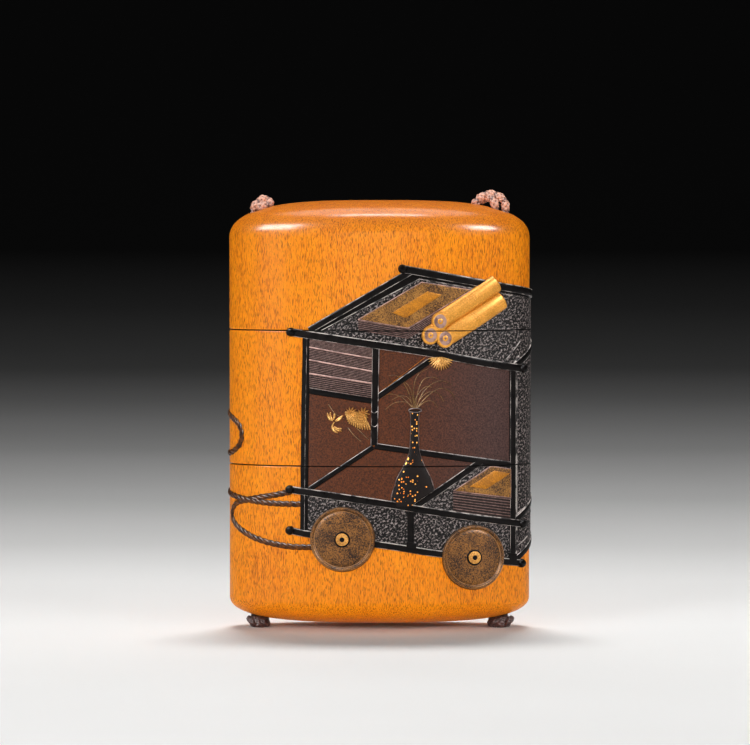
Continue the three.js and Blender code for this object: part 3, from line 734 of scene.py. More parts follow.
def add_boss(bm, centre, profile, sides, base=-FOOT):
    """A round boss turned from (radius, lift) steps, outer edge first."""
    steps = [(profile[0][0], base), *profile]
    turns = full_turn(sides)
    rows = join_rings(bm, [[(centre[0] + r * math.cos(a), centre[1] + r * math.sin(a),
                             lift) for a in turns] for r, lift in steps])
    for row, (_, lift), way in ((rows[0], steps[0], -1), (rows[-1], steps[-1], 1)):
        middle = bm.verts.new((*centre, lift))
        for a, b in zip(row, row[1:] + row[:1]):
            bm.faces.new((a, b, middle)[::way])


def add_tube(bm, path, radius, sides, up=(0, 1, 0)):
    """A round tube along 3-D rows. radius may vary along it."""
    path = np.asarray(path, float)
    radii = np.broadcast_to(radius, len(path))
    turns = full_turn(sides)
    rows = zip(path, radii, *carried_frame(path, up))
    add_rings(bm, [[at + r * (math.cos(a) * above + math.sin(a) * across) for a in turns]
                   for at, r, above, across in rows])


def trim(bm, place, normal, dist, inner=False):
    """Cuts away what lies on the side of a plane where its normal points, or with inner
    what lies on the other side, and gives the edges of the cut."""
    cut = bmesh.ops.bisect_plane(
        bm, geom=bm.verts[:] + bm.edges[:] + bm.faces[:], dist=dist, plane_co=place,
        plane_no=normal, clear_outer=not inner, clear_inner=inner)
    return [g for g in cut["geom_cut"] if isinstance(g, bmesh.types.BMEdge)]


def trim_solid(bm, place, normal, dist, inner=False):
    """Cuts a solid as trim does, and closes it over the cut."""
    edges = [edge for edge in trim(bm, place, normal, dist, inner) if edge.is_boundary]
    bmesh.ops.holes_fill(bm, edges=edges, sides=0)


def anticlockwise(corners):
    """The corners of a convex outline in anticlockwise order, as vectors."""
    area = sum(a[0] * b[1] - b[0] * a[1]
               for a, b in zip(corners, corners[1:] + corners[:1]))
    return [Vector(c) for c in (corners if area > 0 else corners[::-1])]


def add_plate(bm, corners, lift, rounding=0.12, pitch=0.8, relief=None):
    """A plate over a convex outline, its edge rounded off and its face cut into cells of
    pitch. Where relief(s, z) is given, its lumps raise the face."""
    corners = anticlockwise(corners)
    normals = []
    for a, b in zip(corners, corners[1:] + corners[:1]):
        way = (b - a).normalized()
        normals.append(Vector((way.y, -way.x)))
    plate = bmesh.new()
    grit = plate.verts.layers.float.new("grit") if relief else None
    # A grid, trimmed to the outline less its rounding.
    low = [min(c[k] for c in corners) - pitch for k in (0, 1)]
    spans = [max(c[k] for c in corners) - low[k] + pitch for k in (0, 1)]
    across, up = (math.ceil(span / pitch) + 1 for span in spans)
    add_sheet(plate, [[plate.verts.new((low[0] + i * pitch, low[1] + j * pitch, 0))
                       for i in range(across)] for j in range(up)])
    for corner, normal in zip(corners, normals):
        trim(plate, (*(corner - normal * rounding), 0), (*normal, 0), 1e-4)
    bmesh.ops.remove_doubles(plate, verts=plate.verts, dist=0.02)
    face = plate.verts[:]
    rim = [edge for edge in plate.edges if edge.is_boundary]
    # Which way the rounding leads from each corner of the rim.
    outward = {}
    for vert in dict.fromkeys(vert for edge in rim for vert in edge.verts):
        touched = [normal for corner, normal in zip(corners, normals)
                   if abs((vert.co.xy - corner).dot(normal) + rounding) < 0.03]
        if len(touched) > 1:
            outward[vert] = (touched[0] + touched[1]) / (1 + touched[0].dot(touched[1]))
        else:
            outward[vert] = touched[0] if touched else Vector((0, 0))
    under = bmesh.ops.duplicate(plate, geom=face + plate.edges[:] + plate.faces[:])
    bmesh.ops.reverse_faces(
        plate, faces=[g for g in under["geom"] if isinstance(g, bmesh.types.BMFace)])
    for vert in face:
        under["vert_map"][vert].co.z = -FOOT
        vert.co.z = lift
        if relief:
            vert[grit] = relief(vert.co.x, vert.co.y)
            vert.co.z += GRIT_SIZE * vert[grit]
    rings = [{vert: vert for vert in outward}]
    for share, height in ((0.5, lift - 0.13 * rounding), (0.87, lift - 0.5 * rounding),
                          (1, lift - rounding), (1, -FOOT)):
        rings.append({vert: plate.verts.new((
            vert.co.x + way.x * rounding * share, vert.co.y + way.y * rounding * share,
            height)) for vert, way in outward.items()})
    rings.append(under["vert_map"])
    for inner, outer in zip(rings, rings[1:]):
        for edge in rim:
            loop = edge.link_loops[0]
            a, b = loop.vert, loop.link_loop_next.vert
            plate.faces.new((inner[b], inner[a], outer[a], outer[b]))
    bmesh.ops.dissolve_degenerate(plate, edges=plate.edges, dist=1e-4)
    joined = mesh_from("plate", plate)
    bm.from_mesh(joined)
    bpy.data.meshes.remove(joined)


# ---------------------------------------------------------------- pieces
def mesh_from(name, bm):
    """Turns a bmesh into a mesh, and frees it."""
    mesh = bpy.data.meshes.new(name)
    bm.to_mesh(mesh)
    bm.free()
    return mesh


def add_object(name, data):
    """Puts an object in the scene."""
    thing = bpy.data.objects.new(name, data)
    bpy.context.scene.collection.objects.link(thing)
    return thing


def finish_piece(name, bm, material, stands_for=(), crease=35):
    """Makes the object, smooths all but its creases, and hands it to the frame."""
    bmesh.ops.recalc_face_normals(bm, faces=bm.faces)
    mesh = mesh_from(name, bm)
    mesh.materials.append(material)
    mesh.shade_smooth()
    mesh.set_sharp_from_angle(angle=math.radians(crease))
    piece = add_object(name, mesh)
    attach(piece, "root")
    if stands_for:
        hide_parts(*stands_for)
    return piece


def wrap(case, points):
    """Takes rows of (s, z, lift) in millimetres on the unrolled skin to rows of
    (x, y, z) in metres."""
    wide, deep = case.half_width / MM, case.half_depth / MM
    angles = np.linspace(-math.pi, math.pi, 2881)
    speed = np.hypot(wide * np.cos(angles), deep * np.sin(angles))
    step = angles[1] - angles[0]
    run = np.concatenate([[0], np.cumsum((speed[1:] + speed[:-1]) / 2 * step)])
    girth = run - run[len(run) // 2]
    s, z, lift = np.asarray(points, float).T
    t = np.interp(s, girth, angles)
    across, outward = deep * np.sin(t), -wide * np.cos(t)
    size = np.hypot(across, outward)
    return np.stack([wide * np.sin(t) + lift * across / size,
                     -deep * np.cos(t) + lift * outward / size,
                     z + case.ground / MM], axis=1) * MM


def finish_relief(name, bm, material, crease=35):
    """Wraps a relief onto the skin and parts it at the seams, one piece for each case."""
    case = bpy.context.scene.inro_case
    for vert, place in zip(bm.verts[:], wrap(case, [v.co for v in bm.verts])):
        vert.co = place
    half = case.seam_gap / 2
    seams = (-math.inf, case.lower_seam, case.upper_seam, math.inf)
    for tier, low, high in zip(("bottom", "middle", "lid"), seams, seams[1:]):
        part = bm.copy()
        for level, inner in ((low + half, True), (high - half, False)):
            if math.isfinite(level):
                trim_solid(part, (0, 0, level), (0, 0, 1), 1e-8, inner)
        if part.faces:
            finish_piece(f"{name}_{tier}", part, material, crease=crease)
        else:
            part.free()
    bm.free()


# ---------------------------------------------------------------- the wooden cases
def fall_at(share, rise, p, q):
    """How far the skin has fallen at a share of the way from its middle to its end."""
    return rise * (1 - max(0.0, 1 - share ** p) ** (1 / q))


def oval_ring(case, share, z, inset=0.0):
    """A ring of the case's outside."""
    turns = full_turn(AROUND)
    x = (share * case.half_width / MM - inset) * np.sin(turns)
    y = -(share * case.half_depth / MM - inset) * np.cos(turns)
    return np.stack([x, y, np.full(AROUND, z)], axis=1)


def hollow_ring(size, z, share=1.0):
    """A ring of a rounded-oblong hollow."""
    round_way = [np.sin(full_turn(AROUND)), -np.cos(full_turn(AROUND))]
    x, y = (share * half * np.sign(c) * np.abs(c) ** (2 / 3)
            for half, c in zip(size, round_way))
    return np.stack([x, y, np.full(AROUND, z)], axis=1)


def channel_cutter(case, side):
    """A cutter for the cord channel at one end, eased at its two mouths."""
    channel = bpy.context.scene.inro_cord.channel / MM
    mouth = (case.top - case.ground) / MM - fall_at(
        channel / (case.half_width / MM), **DOME)
    levels = [(-4, 2.7), (-0.1, 2.45), (0.35, 2.12), (0.9, CHANNEL_RADIUS),
              (mouth - 1.1, CHANNEL_RADIUS), (mouth - 0.4, 2.1), (mouth + 0.2, 2.4),
              (mouth + 4, 3.2)]
    bm = bmesh.new()
    add_rings(bm, [[((side * channel + r * math.cos(a)) * MM, r * math.sin(a) * MM,
                     z * MM + case.ground) for a in full_turn(48)] for z, r in levels])
    bmesh.ops.recalc_face_normals(bm, faces=bm.faces)
    return add_object("channel_cutter", mesh_from("channel_cutter", bm))


def turned_case(case, name, node, below, skin, above, materials, cutters):
    """One case from its rings, drilled for the cords. The skin shows, and the rings
    below and above it line the hollows."""
    bm = bmesh.new()
    add_rings(bm, [[(x * MM, y * MM, z * MM + case.ground) for x, y, z in ring]
                   for ring in (*below, *skin, *above)])
    outside = range(len(below), len(below) + len(skin) - 1)
    for number, face in enumerate(bm.faces):
        face.material_index = number // AROUND not in outside
    bm.faces.ensure_lookup_table()
    bm.faces[-2].material_index, bm.faces[-1].material_index = bool(below), bool(above)
    crease = 50
    piece = finish_piece(name, bm, materials[0], [node], crease)
    piece.data.materials.append(materials[1])
    for cutter in cutters:
        drill = piece.modifiers.new("drill", "BOOLEAN")
        drill.operation, drill.object, drill.solver = "DIFFERENCE", cutter, "EXACT"
    graph = bpy.context.evaluated_depsgraph_get()
    drilled = bpy.data.meshes.new_from_object(piece.evaluated_get(graph))
    piece.modifiers.clear()
    old, piece.data = piece.data, drilled
    bpy.data.meshes.remove(old)
    drilled.set_sharp_from_angle(angle=math.radians(crease))


class INRO_OT_cases(bpy.types.Operator):
    """Build the three stacked wooden cases"""
    bl_idname = "inro.cases"
    bl_label = "Cases"

    def execute(self, context):
        case = context.scene.inro_case
        crown, lower, upper = ((z - case.ground) / MM for z in (
            case.top, case.lower_seam, case.upper_seam))
        half = case.seam_gap / 2 / MM
        keel_base = fall_at(KEEL_FLAT, **KEEL)
        socket_top = lower + RISER_HEIGHT + SOCKET_CLEARANCE

        def edge(seam, way):
            """The eased edge of a wall at a seam, from the wall inwards."""
            lip = seam + way * half
            return [oval_ring(case, 1, lip + way * rise * EDGE_EASE, inward * EDGE_EASE)
                    for rise, inward in ((3, 0), (1, 0), (0.4, 0.2), (0, 1))]

        def store(floor, seam):
            """The riser round a mouth, and the store inside it, from the shoulder in."""
            top = seam + RISER_HEIGHT
            return [hollow_ring(*row) for row in (
                (RISER, seam - half), (RISER, top - 0.25), (RISER, top, 0.99),
                (STORE, top, 1.01), (STORE, top - 0.25), (STORE, floor + 1),
                (STORE, floor + 0.3, 0.985), (STORE, floor, 0.95), (STORE, floor, 0.05))]

        dome = [oval_ring(case, k, crown - fall_at(k, **DOME))
                for k in np.sin(np.linspace(0.02, math.pi / 2, 40))]
        lid = [*dome, oval_ring(case, 1, 66), oval_ring(case, 1, 60), *edge(upper, 1)]
        under_lid = [hollow_ring(SOCKET, upper + half), hollow_ring(SOCKET, upper + 6),
                     *[hollow_ring(SOCKET, z, k) for k, z in CEILING]]
        socket = [hollow_ring(SOCKET, socket_top, 0.05), hollow_ring(SOCKET, socket_top),
                  hollow_ring(SOCKET, lower + half)]
        middle = [*reversed(edge(lower, 1)), oval_ring(case, 1, 38),
                  oval_ring(case, 1, 47), *edge(upper, -1)]
        keel = [oval_ring(case, k, fall_at(k, **KEEL) - keel_base)
                for k in np.sin(np.linspace(math.asin(KEEL_FLAT), math.pi / 2, 30))]
        bottom = [oval_ring(case, 0.02, 0), oval_ring(case, 0.3, 0), *keel,
                  oval_ring(case, 1, 12), oval_ring(case, 1, 21), *edge(lower, -1)]
        materials = (rubbed_wood(case), lining_lacquer())
        cutters = [channel_cutter(case, side) for side in (-1, 1)]
        for name, node, *rings in (
                ("case_lid", "lid", [], lid, under_lid),
                ("case_middle", "middle_case", socket, middle,
                 store(socket_top + FLOOR_THICKNESS, upper)),
                ("case_bottom", "bottom_case", [], bottom, store(BOTTOM_FLOOR, lower))):
            turned_case(case, name, node, *rings, materials, cutters)
        for cutter in cutters:
            bpy.data.objects.remove(cutter)
        return {"FINISHED"}


# ---------------------------------------------------------------- the cart
def grit_height(s, z):
    """The lumps of the stone-textured lacquer, from -1 to 1."""
    at = Vector((s / GRIT_PITCH, z / GRIT_PITCH, 0.0))
    return 0.75 * noise.noise(at) + 0.4 * noise.noise(at * 1.9)


class INRO_OT_grounds(bpy.types.Operator):
    """Build the flat lacquer grounds of the cart"""
    bl_idname = "inro.grounds"
    bl_label = "Lacquer grounds"

    def execute(self, context):
        lacquer = context.scene.inro_lacquer
        rough, red, plain = (bmesh.new() for _ in range(3))
        rough.verts.layers.float.new("grit")
        for outline in STONE_GROUNDS.values():
            add_plate(rough, outline, LIFT["ground"], 0.05, 0.18, grit_height)
        for outline in RED_GROUNDS.values():
            add_plate(red, outline, LIFT["ground"], 0.05, 1.0)
        add_plate(plain, ROOF_BORDER, LIFT["border"], 0.05, 1.0)
        finish_relief("stone_ground", rough, stone_lacquer(lacquer), 60)
        finish_relief("roof_border", plain, black_lacquer(lacquer))
        finish_relief("red_ground", red, red_lacquer(lacquer))
        return {"FINISHED"}


class INRO_OT_frame(bpy.types.Operator):
    """Build the cart's black rails, posts and bars, with pale lines along their edges that
    are partly drawn lines and partly painted highlights
    """
    bl_idname = "inro.frame"
    bl_label = "Cart frame"

    def execute(self, context):
        lacquer = context.scene.inro_lacquer
        black, lines = bmesh.new(), bmesh.new()
        rail, bar, post = LIFT["rail"], LIFT["bar"], LIFT["post"]
        low = LIFT["ground"] + 0.12
        # Each post's pale lines: offset, half width and height. The left post's middle line
        # is a painted highlight.
        sides = [(0.6, 0.07, bar), (-0.6, 0.05, bar)]
        post_lines = {"left": [(0.12, 0.1, bar + 0.02)], "inner": sides,
                      "right": [*sides, (1.05, 0.1, low)]}

        def drawn(path, offset, half, above):
            """A pale line beside a path's middle, on what stands that high. Along upper
            edges it is partly a painted highlight.
            """
            add_strip(lines, path + leftward(path) * offset, half, above + 0.02, RIDGE,
                      tip=0.3, base=above - 0.12)

        for name, (half, line) in BARS.items():
            path = even_path(line, 0.8)
            add_strip(black, path, half, bar)
            drawn(path, half - 0.1, 0.08, bar - 0.04)
            if name in ("divider", "gable", "gable_right"):
                drawn(path, 0.1 - half, 0.07, bar - 0.04)
        for name, (halves, line) in POSTS.items():
            path = even_path(line, 0.8)
            add_strip(black, path, np.linspace(*halves, len(path)), post)
            for offset, half, above in post_lines.get(name, ()):
                drawn(path, offset, half, above)
        for line in HAIRLINES:
            drawn(even_path(line, 0.6), 0, 0.08, low)
        for block in POST_FEET:
            add_plate(black, block, bar + 0.1, 0.1, 1.0)
        for name, (half, line) in RAILS.items():
            path = smooth_path(line, 0.7)
            add_strip(black, path, half, rail, tip=0.5)
            # The line along each rail's upper edge is partly a painted highlight.
            drawn(path, half - 0.1, 0.09, rail)
            drawn(path, 0.08 - half, 0.05, rail - 0.04)
            for end in line[:1] if name == "ridge" else (line[0], line[-1]):
                add_boss(black, end, RAIL_END, 24)
        # Two short arcs cross the inner post.
        for level in (40.3, 37.75):
            arc = [(-1.55 + 0.28 * k, level + 0.09 * (k - 2) ** 2 - 0.3)
                   for k in range(5)]
            add_strip(lines, smooth_path(arc, 0.2), 0.09, bar + 0.06, RIDGE,
                      base=bar - 0.1)
        pale_edge_finish = drawn_line("tin_dust_line_brushed", lacquer.silver, linear("#26201e"))
        finish_relief("frame_rails", black, black_lacquer(lacquer))
        finish_relief("frame_lines_and_painted_highlights", lines, pale_edge_finish)
        return {"FINISHED"}


def add_threads(bm, quad, count, half, above):
    """The edges of leaves: threads across a quad, which is given as its left top, right
    top, right foot and left foot."""
    left_top, right_top, right_foot, left_foot = np.array(quad, float)
    for i in range(count):
        u = (i + 0.5) / count
        ends = [left_top + (left_foot - left_top) * u,
                right_top + (right_foot - right_top) * u]
        add_strip(bm, even_path(ends, 1.0), half, LIFT["leaves"] + above, RIDGE,
                  base=LIFT["leaves"] - 0.08)


class INRO_OT_books(bpy.types.Operator):
    """Build the stacked books and the two albums with their title slips"""
    bl_idname = "inro.books"
    bl_label = "Books and albums"

    def execute(self, context):
        lacquer = context.scene.inro_lacquer
        bodies, leaves, lines, covers, slips = (bmesh.new() for _ in range(5))
        left, right = SHELF_BOOKS
        for (lt, rt), (lf, rf) in zip(BOOK_JOINTS, BOOK_JOINTS[1:]):
            quad = [(left, lt), (right, rt), (right, rf), (left, lf)]
            add_plate(bodies, quad, LIFT["book"], 0.08, 1.0)
            add_threads(leaves, quad, 8, 0.07, 0.02)
        for lt, rt in BOOK_JOINTS[1:-1]:
            add_strip(lines, even_path([(left, lt), (right, rt)], 1.0), 0.14,
                      LIFT["leaves"] + 0.08, RIDGE, base=LIFT["leaves"] - 0.1)
        for album in ALBUMS.values():
            for quad in album["edges"]:
                add_plate(bodies, quad, LIFT["book"], 0.06, 1.0)
                add_threads(leaves, quad, *album["threads"], 0.03)
            cover = album["cover"]
            add_plate(covers, cover, LIFT["cover"], 0.14, 0.8)
            add_strip(lines, even_path([*cover, cover[0]], 0.7), 0.09,
                      LIFT["cover"] + 0.02, RIDGE, base=LIFT["cover"] - 0.2)
            add_plate(slips, album["slip"], LIFT["slip"], 0.08, 0.8)
        for name, bm, material, slot in (
                ("book_bodies", bodies, leaf_edges(
                    "dark_mauve_lacquer_combed", linear("#2a1a16"),
                    linear("#150b08")), "bronze_lacquer"),
                ("book_leaves", leaves, leaf_edges(
                    "mauve_lacquer_combed", lacquer.mauve, linear("#5c4039")),
                 "bronze_lacquer"),
                ("book_threads", lines, drawn_line(
                    "rose_dust_line_brushed", linear("#c59a8e"), linear("#86645c")),
                 "bronze_lacquer"),
                ("album_covers", covers, sprinkled_gold(
                    "brown_bronze_sprinkled", lacquer.bronze, linear("#3c2005"),
                    0.24, 0.25), "bronze_lacquer"),
                ("title_slips", slips, sprinkled_gold(
                    "gold_sprinkled_close", linear("#c87e0a"), linear("#965c04"),
                    0.24, 0.25), "gold_lacquer")):
            finish_relief(name, bm, material)
        return {"FINISHED"}


class INRO_OT_scrolls(bpy.types.Operator):
    """Build the three rolled scrolls on the roof"""
    bl_idname = "inro.scrolls"
    bl_label = "Scrolls"

    def execute(self, context):
        rolls, ends, arcs = (bmesh.new() for _ in range(3))
        lift = LIFT["scroll"]
        # A scroll's end: the roll's edge, the mauve ring, the gold core and its pip.
        end_parts = [
            (rolls, [(1.8, 0.5), (1.78, 1.0), (1.66, lift + 0.02), (1.35, lift + 0.06)],
             40, -FOOT),
            (ends, [(1.3, lift + 0.07), (1.24, lift + 0.12), (0.66, lift + 0.13),
                    (0.6, lift + 0.08)], 32, lift - 0.05),
            (rolls, [(0.56, lift + 0.1), (0.46, lift + 0.16), (0.24, lift + 0.17)],
             20, lift - 0.05),
            (ends, [(0.2, lift + 0.18), (0.12, lift + 0.2)], 12, lift),
        ]
        for start, stop, nears in SCROLLS:
            add_strip(rolls, even_path([start, stop], 0.3), SCROLL_HALF, lift,
                      HALF_ROUND, tip=0.35)
            for bm, profile, sides, base in end_parts:
                known = len(bm.verts)
                add_boss(bm, start, profile, sides, base)
                bm.verts.ensure_lookup_table()
                for vert in bm.verts[known:]:
                    vert.co.x = start[0] + (vert.co.x - start[0]) * SCROLL_SLIM
            # Fine arcs cross the roll where its edge winds round.
            way = (Vector(stop) - Vector(start)).normalized()
            over = Vector((-way.y, way.x))
            turns = np.linspace(-0.2, 1, 8)
            for near in nears:
                arc = [Vector(start) + way * (near - 0.35 * u ** 2) + over * (1.5 * u)
                       for u in turns]
                add_strip(arcs, arc, 0.07, lift * (1 - 0.42 * turns ** 4) + 0.03, RIDGE,
                          base=0.3)
        gold = sprinkled_gold(
            "gold_sprinkled_burnished", context.scene.inro_lacquer.gold,
            linear("#c08024"), 0.28, 0.25)
        pale = drawn_line(
            "pale_gold_line_brushed", linear("#f4cf96"), linear("#c8964c"))
        mauve = drawn_line(
            "mauve_lacquer_brushed", linear("#a27b6c"), linear("#6c483c"))
        finish_relief("scroll_arcs", arcs, pale)
        finish_relief("scrolls", rolls, gold)
        finish_relief("scroll_ends", ends, mauve)
        return {"FINISHED"}


def add_vase(body, outline):
    """The vase and its pale outline, cut off by the tray's divider in front of it."""
    height, half = smooth_path(VASE, 0.3).T
    across = VASE_FOOT[0] + 0.2 * (height - VASE_FOOT[1]) / 18
    add_strip(body, np.stack([across, height], axis=1), half, LIFT["vase"],
              SHALLOW_ROUND)
    for way in (-1, 1):
        side = np.stack([across + way * (half - 0.05), height], axis=1)
        add_strip(outline, side, 0.08, 0.5, RIDGE, base=0.2)
    add_strip(outline, oval_path(VASE_MOUTH, 1.2, 0.38, 24), 0.1, LIFT["vase"] + 0.12,
              RIDGE, base=0.6)
    low, high = (Vector(end) for end in BARS["divider"][1])
    way = (high - low).normalized()
    below = Vector((way.y, -way.x))
    for bm in (body, outline):
        trim_solid(bm, (*(low - below * 0.6), 0), (*below, 0), 1e-5)


def add_petal(bm, start, bearing, reach, half, lift, bend):
    """One petal from start along a bearing in degrees, widest past its middle."""
    u = np.linspace(0, 1, 9)
    turn = np.radians(bearing + bend * u)
    steps = np.stack([np.cos(turn), np.sin(turn)], axis=1) * reach / 8
    path = np.asarray(start) + np.vstack([[0, 0], np.cumsum(steps[1:], axis=0)])
    width = half * (0.35 + 0.65 * np.sin(math.pi * np.clip(u, 0, 0.94) ** 1.3)) * (
        1 - 0.55 * u ** 6)
    add_strip(bm, path, width, lift, RIDGE, tip=0.09 * reach, base=0.25)


def add_leaf(bm, line, half, lift):
    """A slim petal or leaf along a curved line."""
    path = smooth_path(line, 0.15)
    u = np.linspace(0, 1, len(path))
    add_strip(bm, path, half * (0.5 + 0.5 * np.sin(math.pi * u ** 1.2)), lift, RIDGE,
              tip=0.15, base=0.25)


def add_full_head(bm, lift):
    """The full head, seen from the side: three rows of petals fall from two curled lobes
    to tips along its lower edge."""
    tips = even_path(PETAL_TIPS, 0.6)
    between = (tips[1:] + tips[:-1]) / 2
    rows = (((0.5, 1), tips), ((0.26, 0.74), between), ((0.02, 0.5), tips))
    for row, ((start, stop), ends) in enumerate(rows):
        for i, tip in enumerate(ends):
            u = i / (len(tips) - 1)
            root = LOBES[0] + (LOBES[1] - LOBES[0]) * u
            bulge = np.array([-0.15, 0.1]) * (1 - u)
            line = [root + (tip - root) * share + bulge * (share < 0.9)
                    for share in (start, (start + stop) / 2, stop)]
            add_leaf(bm, line, 0.17, lift + 0.09 * row)
    for lobe, bearings in zip(LOBES, ((185, 20), (160, -30))):
        for bearing in np.linspace(*bearings, 6):
            add_petal(bm, lobe - (0, 0.4), bearing, 1.25, 0.15, lift + 0.3, -25)


class INRO_OT_vase(bpy.types.Operator):
    """Build the vase, its stems and the chrysanthemums"""
    bl_idname = "inro.vase"
    bl_label = "Vase and flowers"

    def execute(self, context):
        body, outline, stems, flowers = (bmesh.new() for _ in range(4))
        add_vase(body, outline)
        for stem in STEMS:
            path = smooth_path(stem, 0.3)
            add_strip(stems, path, np.linspace(0.085, 0.05, len(path)), LIFT["stem"],
                      RIDGE, tip=0.2, base=0.22)
        lift = LIFT["flower"]
        add_full_head(flowers, lift)
        # The half head hangs under the eaves.
        for i in range(15):
            add_petal(flowers, HALF_HEAD, -172 + 11.7 * i, 2.6, 0.19,
                      lift + 0.06 * (i % 2), 4)
        for line in LEAVES:
            add_leaf(flowers, line, 0.2, lift)
        for name, bm, material, slot in (
                ("vase", body, flaked_lacquer(), "black_lacquer"),
                ("vase_outline", outline, drawn_line(
                    "tin_dust_line_fine", linear("#a08c86"), linear("#5c4c48")),
                 "black_lacquer"),
                ("stems", stems, sprinkled_gold(
                    "gold_line_brushed", linear("#86632f"), linear("#4a3016"),
                    0.3, 0.2), "gold_lacquer"),
                ("flowers", flowers, sprinkled_gold(
                    "gold_raised_burnished", linear("#f0bd6c"), linear("#9a6828"),
                    0.24, 0.25), "gold_lacquer")):
            finish_relief(name, bm, material)
        return {"FINISHED"}


class INRO_OT_wheels(bpy.types.Operator):
    """Build the two disc wheels and their hubs"""
    bl_idname = "inro.wheels"
    bl_label = "Wheels"

    def execute(self, context):
        discs, rings, collars, hubs = (bmesh.new() for _ in range(4))
        rim, face, hub = LIFT["rim"], LIFT["wheel"], LIFT["hub"]
        disc = [(6.1, 0.45), (6.07, 0.7), (5.97, 0.88), (5.8, rim), (5.62, rim),
                (5.5, rim - 0.1), (5.42, face), (5.3, face + 0.01), (5.2, face - 0.05),
                (5.1, face + 0.01), (4.6, face + 0.05), (3.4, face + 0.09),
                (2.2, face + 0.1), (1.5, face + 0.1)]
        collar = [(1.5, face + 0.14), (1.42, hub - 0.05), (1.26, hub - 0.02)]
        gold_ring = [(1.2, hub - 0.04), (1.14, hub + 0.05), (1.0, hub + 0.08),
                     (0.55, hub + 0.08)]
        axle = [(0.46, hub + 0.11), (0.34, hub + 0.14)]
        for centre in WHEELS:
            add_boss(discs, centre, disc, 96)
            for radius, half, lift in ((5.28, 0.07, face + 0.05), (5.9, 0.08, rim + 0.03)):
                add_strip(rings, oval_path(centre, radius, radius, 96), half, lift, RIDGE,
                          base=face - 0.1)
            add_boss(collars, centre, collar, 48, face - 0.05)
            add_boss(hubs, centre, gold_ring, 40, face)
            add_boss(collars, centre, axle, 24, hub - 0.05)
        for name, bm, material, slot in (
                ("wheels", discs, sprinkled_gold(
                    "brown_gold_sprinkled", linear("#946024"), linear("#241003"),
                    0.24, 0.2, 0.4), "bronze_lacquer"),
                ("wheel_rings", rings, drawn_line(
                    "brown_gold_line_brushed", linear("#a87848"), linear("#5c3a1a")),
                 "bronze_lacquer"),
                ("hub_collars", collars, black_lacquer(context.scene.inro_lacquer),
                 "black_lacquer"),
                ("hubs", hubs, sprinkled_gold(
                    "gold_hub_burnished", linear("#e0a450"), linear("#a87030"),
                    0.25, 0.35), "gold_lacquer")):
            finish_relief(name, bm, material)
        return {"FINISHED"}


class INRO_OT_rope(bpy.types.Operator):
    """Build the cart's twisted draught rope"""
    bl_idname = "inro.rope"
    bl_label = "Draught rope"

    def execute(self, context):
        bm = bmesh.new()
        for line in ROPES:
            path = smooth_path(line, 0.14)
            for start in (0, 1 / 3, 2 / 3):
                turn = 2 * math.pi * (run_along(path) / ROPE_LAY + start)
                strand = np.column_stack([
                    path + leftward(path) * (ROPE_AWAY * np.cos(turn))[:, None],
                    LIFT["rope"] + ROPE_AWAY * np.sin(turn)])
                add_tube(bm, strand, ROPE_STRAND, 10, up=(0, 0, 1))
        # On the back the loop starts from a small knot.
        add_boss(bm, ROPES[2][0], ROPE_KNOT, 24)
        for vert in bm.verts:
            vert.co.z *= ROPE_FLATNESS
        lacquer = modelled_lacquer(context.scene.inro_lacquer)
        finish_relief("draught_rope", bm, lacquer, 80)
        return {"FINISHED"}


# ---------------------------------------------------------------- the cords
def knot_turns(half_x, half_y):
    """A knot round the doubled strand: a turn pressed flat on the ground and one above
    it. x runs outwards from the channel's middle."""
    turns = np.linspace(-0.3, 2 * math.pi + 0.3, 17)
    return [[(size * half_x * math.cos(a), size * half_y * math.sin(a), z)
             for a in turns] for size, z in ((1, -0.6), (0.85, 0.05))]


def knot_wraps(half_x, half_y):
    """The wraps that slant across both turns of a knot."""
    return [[(x + 0.75, -0.2, 0.25), (x + 0.55, -half_y * 0.8, 0.1),
             (x, -half_y - 0.15, -0.35), (x - 0.45, -half_y * 0.85, -0.7),
             (x - 0.5, 0, -0.75)] for x in (-0.75 * half_x, 0.15 * half_x, 1.05 * half_x)]


def add_braid(bm, path, radius, lobes=0.0):
    """A round braid along path: four ends wind one way and four the other, and each
    passes over and under in turn. A core fills it, and lobes is the share by which it
    draws in between lobes. A layer notes how far out each corner lies, from 0 in the
    hollows to 1 outside, less between lobes, and the silk paints shade from it."""
    depth = bm.verts.layers.float["braid_painted_shade"]
    run = run_along(path)
    upright = abs(heading(path)[0][1]) < 0.9
    ups, across = carried_frame(path, (0, 1, 0) if upright else (0, 0, 1))
    swell = np.abs(np.sin(math.pi * run / LOBE)) if lobes else np.ones(len(run))
    radius = radius * (1 - lobes + 1.5 * lobes * swell)

    def lay(rows, share, sides):
        known = len(bm.verts)
        add_tube(bm, rows, radius * share, sides)
        bm.verts.ensure_lookup_table()
        new = bm.verts[known:]
        axis = np.repeat(path, sides, axis=0)
        out = np.linalg.norm([v.co for v in new] - axis, axis=1) / np.repeat(radius, sides)
        # Painted shade: the layer falls where the bight draws in between lobes.
        full = np.repeat(np.minimum(1, 0.3 + 1.1 * swell), sides)
        for vert, height in zip(new, full * np.clip((out - 0.5) / 0.6, 0, 1)):
            vert[depth] = height

    lay(path, BRAID["core"], 12)
    weave = np.cos(8 * math.pi * run / BRAID_PITCH) * BRAID["weave"]
    for way in (1, -1):
        out = radius * (BRAID["middle"] + way * weave)
        for start in range(4):
            turn = way * 2 * math.pi * run / BRAID_PITCH + start * math.pi / 2
            lay(path + (out * np.cos(turn))[:, None] * ups
                + (out * np.sin(turn))[:, None] * across, BRAID["end"], 8)


